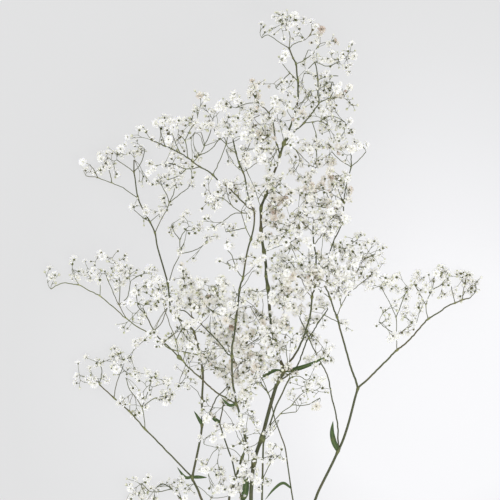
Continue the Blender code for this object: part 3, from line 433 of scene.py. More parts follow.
# Flowers and buds that only the fine look shows, laid out as in MASSES.
FINE_MASSES = """
262,160,16,9,17; 262,142,16,9,15; 240,158,13,10,12; 285,112,14,12,15; 313,108,13,12,13; 285,138,12,10,10
160,160,12,9,9; 186,160,13,12,11; 140,212,12,8,10; 163,210,12,9,11; 262,238,12,12,12; 263,262,13,13,16
282,262,14,12,15; 300,250,12,12,10; 262,288,13,12,18; 282,310,12,12,14; 285,338,14,14,18; 160,338,14,10,12
187,336,16,14,17; 212,338,16,14,17; 187,362,14,12,14; 213,362,16,12,15; 187,383,9,8,12; 322,350,8,10,10
310,366,8,10,7; 135,408,12,9,10; 166,400,7,3,20; 240,405,14,12,17; 211,408,10,12,10; 212,440,12,14,13
237,437,12,12,12; 262,428,8,8,6; 212,470,12,22,17; 187,487,12,12,14; 237,487,10,10,14; 264,486,9,9,12
283,371,10,4,34; 312,162,12,11,14; 111,362,12,11,9; 362,282,10,8,9; 328,352,8,9,12; 185,256,10,10,9; 212,208,10,8,7
187,180,10,10,10; 212,187,11,10,9; 137,308,11,10,10; 408,308,10,10,7; 238,310,9,22,10; 236,345,8,12,12
230,258,12,12,8; 240,300,10,10,8; 250,330,12,12,10; 230,340,14,12,8; 320,262,14,14,8; 300,205,14,12,8
"""

# Where the photo's outline stays inside a mass: centre, half width, half height, share of flowers left out
THINNED = (
    (284, 0, 60, 11, 1.0),
    (284, 143, 6, 8, 1.0),
    (179, 356, 6, 6, 1.0),
    (262, 206, 4, 6, 1.0),
    (194, 332, 4, 7, 1.0),
    (262, 438, 5, 6, 1.0),
    (232, 356, 5, 5, 1.0),
    (202, 426, 6, 6, 1.0),
    (193, 477, 6, 6, 1.0),
    (312, 297, 4, 6, 1.0),
    (251, 240, 4, 6, 1.0),
    (243, 279, 4, 5, 1.0),
    (250, 8, 16, 20, 1.0),
    (62, 286, 14, 9, 0.35),
    (106, 132, 12, 10, 0.6),
    (314, 6, 18, 14, 1.0),
    (385, 155, 14, 16, 1.0),
    (362, 186, 12, 15, 0.8),
    (365, 232, 10, 10, 0.7),
    (410, 262, 15, 12, 0.9),
    (438, 260, 14, 10, 0.5),
    (82, 262, 18, 13, 0.5),
    (60, 262, 14, 12, 0.4),
    (36, 275, 10, 14, 1.0),
    (86, 163, 12, 12, 0.4),
    (85, 350, 12, 12, 0.25),
    (262, 250, 7, 12, 0.75),
    (265, 283, 7, 16, 0.75),
    (268, 312, 6, 12, 0.6),
    (259, 222, 6, 9, 0.6),
    (215, 452, 16, 15, 0.35),
    (203, 490, 22, 12, 0.45),
    (265, 440, 5, 40, 0.5),
    (40, 264, 7, 8, 1.0),
)


def left_out(u, v, rng):
    return any(
        ((u - cu) / ru) ** 2 + ((v - cv) / rv) ** 2 < 1 and rng.random() < share
        for cu, cv, ru, rv, share in THINNED
    )



def placed(u, v, z):
    p = place(u, v, z)
    return Vector((p.x + SHIFT_X, p.y, p.z))


class Build:
    """Gathers vertices, faces, smooth flags and per-point values for one piece."""

    def __init__(self):
        self.v, self.f, self.tone, self.edge, self.n = [], [], [], [], 0
        self.mat = []

    def add(self, verts, faces, tone, edge, mat=0):
        verts = np.asarray(verts, float).reshape(-1, 3)
        self.v.append(verts)
        self.f.append(np.asarray(faces, int) + self.n)
        self.mat.append(np.full(len(faces), mat))
        self.tone.append(np.broadcast_to(np.asarray(tone, float), (len(verts),)))
        self.edge.append(np.broadcast_to(np.asarray(edge, float), (len(verts),)))
        self.n += len(verts)

    def object(self, name, mats):
        if not self.n:
            return None
        verts = np.concatenate(self.v)
        verts[:, 2] = np.maximum(verts[:, 2], 0.00005)
        faces = np.concatenate(self.f)
        mesh = bpy.data.meshes.new(name)
        mesh.vertices.add(len(verts))
        mesh.vertices.foreach_set("co", verts.astype(np.float32).ravel())
        quad = faces[:, 3] != faces[:, 2]
        sizes = np.where(quad, 4, 3)
        loops = faces[np.stack([np.ones_like(quad)] * 3 + [quad], axis=1)]
        mesh.loops.add(len(loops))
        mesh.loops.foreach_set("vertex_index", loops.astype(np.int32))
        mesh.polygons.add(len(faces))
        starts = np.concatenate([[0], np.cumsum(sizes)[:-1]])
        mesh.polygons.foreach_set("loop_start", starts.astype(np.int32))
        mesh.polygons.foreach_set("material_index", np.concatenate(self.mat).astype(np.int32))
        mesh.polygons.foreach_set("use_smooth", np.ones(len(faces), bool))
        mesh.update(calc_edges=True)
        for label, values in (("tone", self.tone), ("edge", self.edge)):
            layer = mesh.attributes.new(label, "FLOAT", "POINT")
            layer.data.foreach_set("value", np.concatenate(values).astype(np.float32))
        obj = bpy.data.objects.new(name, mesh)
        bpy.context.scene.collection.objects.link(obj)
        for mat in mats:
            mesh.materials.append(mat)
        return obj


def quads(rows, cols, wrap):
    """Faces of a grid of points, row by row."""
    out = []
    for r in range(rows - 1):
        for c in range(cols if wrap else cols - 1):
            d = (c + 1) % cols
            out.append((r * cols + c, r * cols + d, (r + 1) * cols + d, (r + 1) * cols + c))
    return out


def smooth_line(points, steps):
    """Points along a curve through the given ones; each carries its radius as a fourth number."""
    pts = np.array(points, float)
    pad = np.vstack([2 * pts[0] - pts[1], pts, 2 * pts[-1] - pts[-2]])
    out = []
    for i in range(len(pts) - 1):
        p0, p1, p2, p3 = pad[i : i + 4]
        for k in range(steps):
            t = k / steps
            out.append(
                0.5
                * (
                    2 * p1
                    + (p2 - p0) * t
                    + (2 * p0 - 5 * p1 + 4 * p2 - p3) * t * t
                    + (3 * p1 - p0 - 3 * p2 + p3) * t**3
                )
            )
    out.append(pts[-1])
    return np.array(out)


def tube(build, line, sides, tone, edge=0.0, mat=0, closed=(False, False)):
    """A tube along points with radii."""
    centre, rad = line[:, :3], line[:, 3]
    ahead = np.gradient(centre, axis=0)
    ahead /= np.maximum(np.linalg.norm(ahead, axis=1, keepdims=True), 1e-12)
    side = np.cross(ahead[0], (0.3, 0.2, 0.93))
    angles = np.arange(sides) * math.tau / sides
    cos, sin = np.cos(angles)[:, None], np.sin(angles)[:, None]
    verts = []
    for c, r, a in zip(centre, rad, ahead):
        side = side - a * side.dot(a)
        side /= max(np.linalg.norm(side), 1e-12)
        other = np.cross(a, side)
        verts.append(c + r * (cos * side + sin * other))
    faces = quads(len(centre), sides, True)
    n = len(centre) * sides
    verts = np.concatenate(verts)
    extra = []
    tones = np.repeat(np.broadcast_to(np.asarray(tone, float), (len(centre),)), sides)
    if closed[0]:
        extra.append(centre[0])
        faces += [((k + 1) % sides, k, n, n) for k in range(sides)]
        n += 1
    if closed[1]:
        last = (len(centre) - 1) * sides
        extra.append(centre[-1])
        faces += [(last + k, last + (k + 1) % sides, n, n) for k in range(sides)]
    if extra:
        verts = np.vstack([verts, extra])
        tones = np.concatenate([tones, np.full(len(extra), tones[0])])
    build.add(verts, faces, tones, edge, mat)


def frame_of(axis, spin):
    """Rotation whose third column is the axis."""
    axis = np.asarray(axis, float)
    axis = axis / max(np.linalg.norm(axis), 1e-12)
    ref = np.array((0.0, 0.0, 1.0)) if abs(axis[2]) < 0.9 else np.array((1.0, 0.0, 0.0))
    a = np.cross(ref, axis)
    a /= np.linalg.norm(a)
    b = np.cross(axis, a)
    c, s = math.cos(spin), math.sin(spin)
    return np.stack([c * a + s * b, -s * a + c * b, axis], axis=1)


def petal(length, width, lift, curl, cup, start, turn_z, rng):
    """One spoon-shaped petal, 3 by 4 points, notched at its tip. Lift is its angle from the flower's axis."""
    verts, edge = [], []
    for r, t in enumerate((0.0, 0.38, 0.74, 1.0)):
        w = width * (0.22, 0.72, 1.0, 0.66)[r]
        bend = lift + curl * t
        run = length * t
        x = start + run * math.sin(bend)
        z = run * math.cos(bend)
        for c in (-1, 0, 1):
            y = 0.5 * w * c
            dip = cup * w * (abs(c) - 0.5)
            notch = -0.10 * length if (r == 3 and c == 0) else 0.0
            px = x + notch * math.sin(bend) - dip * math.cos(bend) * -1
            pz = z + notch * math.cos(bend) + dip * math.sin(bend)
            verts.append((px, y, pz))
            edge.append(t)
    v = np.array(verts)
    c, s = math.cos(turn_z), math.sin(turn_z)
    v = v @ np.array(((c, s, 0), (-s, c, 0), (0, 0, 1)))
    v += np.array([rng.uniform(-1, 1) * 0.012 for _ in range(v.size)]).reshape(v.shape) * length
    return v, quads(4, 3, False), edge


def flower_template(rng, whorls, openness):
    """A double flower of radius 1 about the origin, its stalk coming from -Z: layers of petals."""
    v, f, e, t = [], [], [], []
    n = 0
    for count, length, width, lift, curl, z in whorls:
        first = rng.uniform(0, math.tau)
        for k in range(count):
            vv, ff, ee = petal(
                length * rng.uniform(0.88, 1.1),
                width * rng.uniform(0.88, 1.12),
                lift * openness + rng.uniform(-0.10, 0.10),
                curl + rng.uniform(-0.15, 0.15),
                0.22,
                0.10,
                first + math.tau * k / count + rng.uniform(-0.14, 0.14),
                rng,
            )
            vv[:, 2] += z
            v.append(vv)
            f.append(np.array(ff) + n)
            e.append(ee)
            t.append(np.full(len(vv), rng.uniform(-0.12, 0.12)))
            n += len(vv)
    return np.concatenate(v), np.concatenate(f), np.concatenate(e), np.concatenate(t)


def revolve(profile, sides):
    """Points and faces of a turned shape; profile rows are (radius, height)."""
    v = []
    for r, z in profile:
        for k in range(sides):
            a = math.tau * k / sides
            v.append((r * math.cos(a), r * math.sin(a), z))
    return np.array(v), quads(len(profile), sides, True)


def templates():
    rng = random.Random(3)
    opened = []
    for _ in range(7):
        opened.append(
            flower_template(
                rng,
                (
                    (6, 1.00, 0.74, 1.42, 0.26, -0.10),
                    (6, 0.98, 0.68, 0.98, 0.20, -0.04),
                    (5, 0.92, 0.60, 0.56, 0.10, 0.02),
                    (3, 0.78, 0.56, 0.22, -0.06, 0.06),
                ),
                rng.uniform(0.9, 1.06),
            )
        )
    half = []
    for _ in range(4):
        half.append(
            flower_template(
                rng,
                (
                    (6, 0.98, 0.62, 0.66, -0.12, -0.05),
                    (5, 0.90, 0.5, 0.32, -0.15, 0.0),
                ),
                rng.uniform(0.85, 1.1),
            )
        )
    bud = revolve(((0.05, -0.95), (0.62, -0.62), (0.94, -0.05), (0.86, 0.35), (0.45, 0.8), (0.04, 0.98)), 7)
    cup = revolve(((0.05, -0.70), (0.30, -0.55), (0.44, -0.15), (0.46, 0.12), (0.40, 0.16)), 7)
    return opened, half, bud, cup


def put(build, shape, where, axis, size, spin, tone, edge=None, mat=0):
    rot = frame_of(axis, spin)
    verts = shape[0] @ rot.T * size + np.asarray(where)
    build.add(verts, shape[1], tone, 0.0 if edge is None else edge, mat)


def leaf_blade(build, points, width, tone):
    """A folded blade with a midrib, pointed at both ends, on a curve through the points."""
    line = smooth_line([(*p, 0) for p in points], 6)[:, :3]
    ahead = np.gradient(line, axis=0)
    ahead /= np.linalg.norm(ahead, axis=1, keepdims=True)
    top, edge = [], []
    across = (-1.0, -0.6, -0.2, 0.0, 0.2, 0.6, 1.0)
    for i, (c, a) in enumerate(zip(line, ahead)):
        t = i / (len(line) - 1)
        half = width / 2 * max(0.03, math.sin(math.pi * (0.1 + 0.9 * t) ** 0.85) ** 0.75)
        side = np.cross(a, (0, 0, 1.0))
        side /= np.linalg.norm(side)
        up = np.cross(side, a)
        for s in across:
            fold = abs(s) ** 1.3 * 0.38 * half - (0.00012 if s == 0 else 0)
            top.append(c + side * s * half + up * fold)
            edge.append(abs(s))
    top = np.array(top)
    n = len(across)
    normal = np.repeat(np.cross(np.cross(ahead, (0, 0, 1.0)), ahead), n, axis=0)
    normal /= np.linalg.norm(normal, axis=1, keepdims=True)
    edge = np.array(edge)
    thick = (0.00034 * (1.15 - edge))[:, None]
    under = top - normal * thick - normal * 0.00018 * (edge < 0.1)[:, None]
    grid = quads(len(line), n, False)
    m = len(top)
    faces = [tuple(q) for q in grid] + [(q[3] + m, q[2] + m, q[1] + m, q[0] + m) for q in grid]
    for r in range(len(line) - 1):
        a, b = r * n, (r + 1) * n
        faces.append((b, b + m, a + m, a))
        a, b = a + n - 1, b + n - 1
        faces.append((a, a + m, b + m, b))
    for row in (0, len(line) - 1):
        for c in range(n - 1):
            a = row * n + c
            q = (a, a + m, a + 1 + m, a + 1)
            faces.append(q if row == 0 else q[::-1])
    build.add(np.vstack([top, under]), faces, tone, np.concatenate([edge, edge]), 0)


# Materials ----------------------------------------------------------------------------------------------------
def nodes_of(name):
    mat = bpy.data.materials.new(name)
    mat.use_nodes = True
    tree = mat.node_tree
    return mat, tree, tree.nodes["Principled BSDF"]


def ramp(tree, source, stops):
    node = tree.nodes.new("ShaderNodeValToRGB")
    while len(node.color_ramp.elements) < len(stops):
        node.color_ramp.elements.new(0.5)
    for element, (at, colour) in zip(node.color_ramp.elements, stops):
        element.position = at
        element.color = (*colour, 1)
    tree.links.new(source, node.inputs[0])
    return node.outputs[0]


def noise(tree, scale, detail=3.0, rough=0.55):
    coords = tree.nodes.new("ShaderNodeTexCoord")
    node = tree.nodes.new("ShaderNodeTexNoise")
    node.inputs["Scale"].default_value = scale
    node.inputs["Detail"].default_value = detail
    node.inputs["Roughness"].default_value = rough
    tree.links.new(coords.outputs["Object"], node.inputs["Vector"])
    return node.outputs["Fac"]


def value(tree, name):
    node = tree.nodes.new("ShaderNodeAttribute")
    node.attribute_name = name
    return node.outputs["Fac"]


def mix(tree, fac, a, b, mode="MIX"):
    node = tree.nodes.new("ShaderNodeMix")
    node.data_type = "RGBA"
    node.blend_type = mode
    for socket, what in ((node.inputs["Factor"], fac), (node.inputs["A"], a), (node.inputs["B"], b)):
        if isinstance(what, (int, float)):
            socket.default_value = what
        elif isinstance(what, tuple):
            socket.default_value = (*what, 1)
        else:
            tree.links.new(what, socket)
    return node.outputs["Result"]


def maths(tree, op, a, b):
    node = tree.nodes.new("ShaderNodeMath")
    node.operation = op
    for socket, what in ((node.inputs[0], a), (node.inputs[1], b)):
        if isinstance(what, (int, float)):
            socket.default_value = what
        else:
            tree.links.new(what, socket)
    return node.outputs[0]


def bump(tree, shader, height, strength, distance):
    node = tree.nodes.new("ShaderNodeBump")
    node.inputs["Strength"].default_value = strength
    node.inputs["Distance"].default_value = distance
    tree.links.new(height, node.inputs["Height"])
    tree.links.new(node.outputs["Normal"], shader.inputs["Normal"])


def petal_material():
    """White petals: each flower has its own tone from clean white through cream to a tired fawn pink."""
    mat, tree, shader = nodes_of("petals")
    tone = value(tree, "tone")
    base = ramp(
        tree,
        tone,
        (
            (0.0, (0.975, 0.966, 0.958)),
            (0.45, (0.94, 0.93, 0.905)),
            (0.70, (0.87, 0.835, 0.775)),
            (0.86, (0.72, 0.63, 0.56)),
            (1.0, (0.50, 0.38, 0.31)),
        ),
    )
    # Greenish tint at the base of each petal, partly painted shade deep in the flower
    base_tint_and_painted_shade = ramp(tree, value(tree, "edge"), ((0.0, (0.86, 0.89, 0.76)), (0.25, (0.98, 0.98, 0.96)), (1.0, (1.0, 1.0, 1.0))))
    colour = mix(tree, 1.0, base, base_tint_and_painted_shade, "MULTIPLY")
    mottle = ramp(tree, noise(tree, 900.0), ((0.3, (0.965, 0.965, 0.955)), (0.7, (1.0, 1.0, 1.0))))
    colour = mix(tree, 1.0, colour, mottle, "MULTIPLY")
    tree.links.new(colour, shader.inputs["Base Color"])
    shader.inputs["Roughness"].default_value = 0.62
    shader.inputs["Specular IOR Level"].default_value = 0.25
    shader.inputs["Sheen Weight"].default_value = 0.15
    shader.inputs["Subsurface Weight"].default_value = 0.45
    shader.inputs["Subsurface Radius"].default_value = (0.0022, 0.0022, 0.0018)
    shader.inputs["Subsurface Scale"].default_value = 1.0
    # Painted glow: emission standing in for the light that thin petals pass on to each other.
    tree.links.new(colour, shader.inputs["Emission Color"])
    shader.inputs["Emission Strength"].default_value = PETAL_PAINTED_GLOW
    bump(tree, shader, noise(tree, 1500.0, 2.0), 0.25, 0.0002)
    return mat


def bud_material():
    """Buds: green at the base, cream to white at the tip."""
    mat, tree, shader = nodes_of("buds")
    by_tone = ramp(tree, value(tree, "tone"), ((0.0, (0.93, 0.92, 0.88)), (0.5, (0.82, 0.81, 0.70)), (1.0, (0.46, 0.46, 0.27))))
    tip = ramp(tree, value(tree, "edge"), ((0.0, (0.36, 0.40, 0.19)), (0.35, (0.80, 0.81, 0.66)), (0.7, (1.0, 1.0, 1.0))))
    colour = mix(tree, 1.0, by_tone, tip, "MULTIPLY")
    mottle = ramp(tree, noise(tree, 700.0), ((0.3, (0.88, 0.88, 0.86)), (0.7, (1.0, 1.0, 1.0))))
    tree.links.new(mix(tree, 1.0, colour, mottle, "MULTIPLY"), shader.inputs["Base Color"])
    shader.inputs["Roughness"].default_value = 0.55
    shader.inputs["Specular IOR Level"].default_value = 0.3
    shader.inputs["Subsurface Weight"].default_value = 0.15
    shader.inputs["Subsurface Radius"].default_value = (0.001, 0.001, 0.0008)
    shader.inputs["Subsurface Scale"].default_value = 1.0
    bump(tree, shader, noise(tree, 1200.0, 2.0), 0.2, 0.0002)
    return mat


def stem_material():
    """Stems: dull dark green to brown, lighter and yellower at the joints, finely streaked."""
    mat, tree, shader = nodes_of("stems")
    base = ramp(
        tree,
        value(tree, "tone"),
        (
            (0.0, (0.052, 0.064, 0.024)),
            (0.35, (0.090, 0.100, 0.040)),
            (0.62, (0.150, 0.165, 0.058)),
            (0.85, (0.290, 0.305, 0.120)),
            (1.0, (0.42, 0.42, 0.20)),
        ),
    )
    streak = ramp(tree, noise(tree, 420.0, 5.0, 0.65), ((0.32, (0.62, 0.58, 0.52)), (0.55, (1.0, 1.0, 1.0)), (0.8, (1.18, 1.15, 1.05))))
    colour = mix(tree, 1.0, base, streak, "MULTIPLY")
    blush = ramp(tree, noise(tree, 45.0, 2.0), ((0.5, (0.0, 0.0, 0.0)), (0.72, (1.0, 1.0, 1.0))))
    colour = mix(tree, maths(tree, "MULTIPLY", blush, 0.35), colour, (0.16, 0.085, 0.045))
    tree.links.new(colour, shader.inputs["Base Color"])
    rough = maths(tree, "MULTIPLY_ADD", noise(tree, 600.0), 0.25)
    rough.node.inputs[2].default_value = 0.38
    tree.links.new(rough, shader.inputs["Roughness"])
    shader.inputs["Specular IOR Level"].default_value = 0.4
    bump(tree, shader, noise(tree, 800.0, 4.0), 0.35, 0.0003)
    return mat


def leaf_material():
    """Leaves: deep green, a paler midrib and margin, fine lengthwise mottling."""
    mat, tree, shader = nodes_of("leaves")
    base = ramp(tree, value(tree, "edge"), ((0.0, (0.155, 0.20, 0.075)), (0.14, (0.060, 0.105, 0.032)), (0.85, (0.045, 0.085, 0.026)), (1.0, (0.12, 0.15, 0.05))))
    mottle = ramp(tree, noise(tree, 260.0, 5.0, 0.6), ((0.3, (0.70, 0.72, 0.66)), (0.7, (1.2, 1.18, 1.05))))
    colour = mix(tree, 1.0, base, mottle, "MULTIPLY")
    dry = ramp(tree, noise(tree, 90.0, 3.0), ((0.60, (0.0, 0.0, 0.0)), (0.75, (1.0, 1.0, 1.0))))
    colour = mix(tree, maths(tree, "MULTIPLY", dry, 0.4), colour, (0.20, 0.17, 0.07))
    tree.links.new(colour, shader.inputs["Base Color"])
    shader.inputs["Roughness"].default_value = 0.5
    shader.inputs["Specular IOR Level"].default_value = 0.35
    bump(tree, shader, noise(tree, 900.0, 4.0), 0.4, 0.0003)
    return mat


def floor_material():
    """Pale sweep with a painted pool of light: light grey, brightest in a wide soft painted pool at the lower right,
    and a painted glow that washes out shadows.
    """
    mat, tree, shader = nodes_of("sweep")
    coords = tree.nodes.new("ShaderNodeTexCoord")
    away = tree.nodes.new("ShaderNodeVectorMath")
    away.operation = "DISTANCE"
    tree.links.new(coords.outputs["Object"], away.inputs[0])
    away.inputs[1].default_value = (*placed(*PAINTED_LIGHT_POOL, 0)[:2], 0)
    reach = maths(tree, "MULTIPLY", away.outputs["Value"], 2.0)
    colour = ramp(tree, reach, PAINTED_LIGHT_POOL_STOPS)
    shade = mix(tree, 1.0, colour, (FLOOR_LIT, FLOOR_LIT, FLOOR_LIT), "MULTIPLY")
    tree.links.new(shade, shader.inputs["Base Color"])
    # Painted glow: the floor gives off its colour as light of its own, which washes out the shadows on it
    tree.links.new(colour, shader.inputs["Emission Color"])
    shader.inputs["Emission Strength"].default_value = FLOOR_PAINTED_GLOW
    shader.inputs["Roughness"].default_value = 0.95
    shader.inputs["Specular IOR Level"].default_value = 0.0
    return mat


# Painted pool of light on the floor: its centre, then the colour steps outward from it
PAINTED_LIGHT_POOL = (430, 380)  # layout point of the brightest part of the floor
PAINTED_LIGHT_POOL_STOPS = (
    (0.0, (0.962, 0.960, 0.975)),
    (0.168, (0.955, 0.953, 0.968)),
    (0.224, (0.912, 0.910, 0.926)),
    (0.372, (0.832, 0.832, 0.842)),
    (0.476, (0.792, 0.792, 0.797)),
    (0.60, (0.762, 0.762, 0.764)),
)
# Strength of the floor's painted glow; FLOOR_LIT is the share of its colour that the lamps light
FLOOR_PAINTED_GLOW = 0.82
# Strength of the petals' painted glow
PETAL_PAINTED_GLOW = 0.042
FLOOR_LIT = 0.15


def grow_twigs(twigs, plant, tip, targets, rng):
    """Forks from a tip to all its targets, with curved threads, swollen forks and small paired bracts."""
    tree = {"pos": [plant.pos[tip]], "up": [None], "head": [False]}
    up = plant.up[tip]
    heading = (plant.pos[tip] - plant.pos[up]).normalized()
    cyme(tree, 0, heading, targets)
    kids = [[] for _ in tree["pos"]]
    for i, parent in enumerate(tree["up"]):
        if parent is not None:
            kids[parent].append(i)
    ways = {0: heading}
    weight = [1] * len(tree["pos"])
    for i in range(len(tree["pos"]) - 1, 0, -1):
        weight[tree["up"][i]] += weight[i]
    order, ends = [0], {}
    while order:
        i = order.pop()
        here = tree["pos"][i]
        for k in kids[i]:
            there = tree["pos"][k]
            span = there - here
            length = span.length
            if length < 1e-5:
                ways[k] = ways[i]
                continue
            lead = (ways[i] * 0.3 + span.normalized() * 0.7).normalized()
            bow = here + lead * length * 0.45 + Vector((rng.uniform(-1, 1), rng.uniform(-1, 1), rng.uniform(-1, 1))) * length * 0.05
            line = []
            r0 = 0.00010 + 0.00003 * min(weight[i], 9) ** 0.5
            r1 = 0.00009 + 0.00003 * min(weight[k], 9) ** 0.5
            count = 4 if length > 0.006 else 3
            for s in range(count + 1):
                t = s / count
                p = here * (1 - t) ** 2 + bow * (2 * t * (1 - t)) + there * t**2
                line.append((p.x, p.y, p.z, r0 + (r1 - r0) * t))
            ways[k] = (there - bow).normalized()
            tube(twigs, np.array(line), 4, np.linspace(0.50, 0.74, count + 1) if not kids[k] else 0.46)
            if kids[k]:
                knot(twigs, there, ways[k], r1 * 1.8, rng)
            order.append(k)
    for i, is_head in enumerate(tree["head"]):
        if is_head:
            ends[i] = (tree["pos"][i], ways.get(i, heading))
    return list(ends.values())


def knot(twigs, where, axis, size, rng):
    """A swollen fork with two pointed bracts."""
    put(twigs, KNOT, where, axis, size, rng.uniform(0, 6), 0.62)
    for turn_by in (0.0, math.pi):
        rot = frame_of(axis, rng.uniform(-0.3, 0.3) + turn_by)
        twigs.add(BRACT[0] @ rot.T * rng.uniform(0.0006, 0.0011) + np.asarray(where), BRACT[1], 0.55, 0.0)


KNOB = revolve(((0.25, -2.1), (0.6, -1.35), (0.92, -0.6), (1.0, 0.0), (0.86, 0.55), (0.5, 1.0), (0.1, 1.2)), 10)
KNOT = revolve(((0.1, -1.25), (0.8, -0.5), (0.95, 0.2), (0.3, 1.1)), 5)
BRACT = (
    np.array(((0.05, -0.12, 0), (0.05, 0.12, 0), (0.42, -0.13, 0.55), (0.42, 0.13, 0.55), (0.5, 0, 1.15), (0.0, 0, 0.1))),
    [(0, 1, 3, 2), (2, 3, 4, 4), (1, 0, 5, 5)],
)


def bulged(points, joints, grow):
    """Radii swollen where side stems leave."""
    out = points.copy()
    tone = np.full(len(points), 0.0)
    for centre, size in joints:
        gap = np.linalg.norm(points[:, :3] - np.asarray(centre), axis=1)
        swell = np.exp(-((gap / (size * 2.2)) ** 2))
        out[:, 3] = np.maximum(out[:, 3], points[:, 3] * (1 + grow * swell))
        tone = np.maximum(tone, swell)
    return out, tone


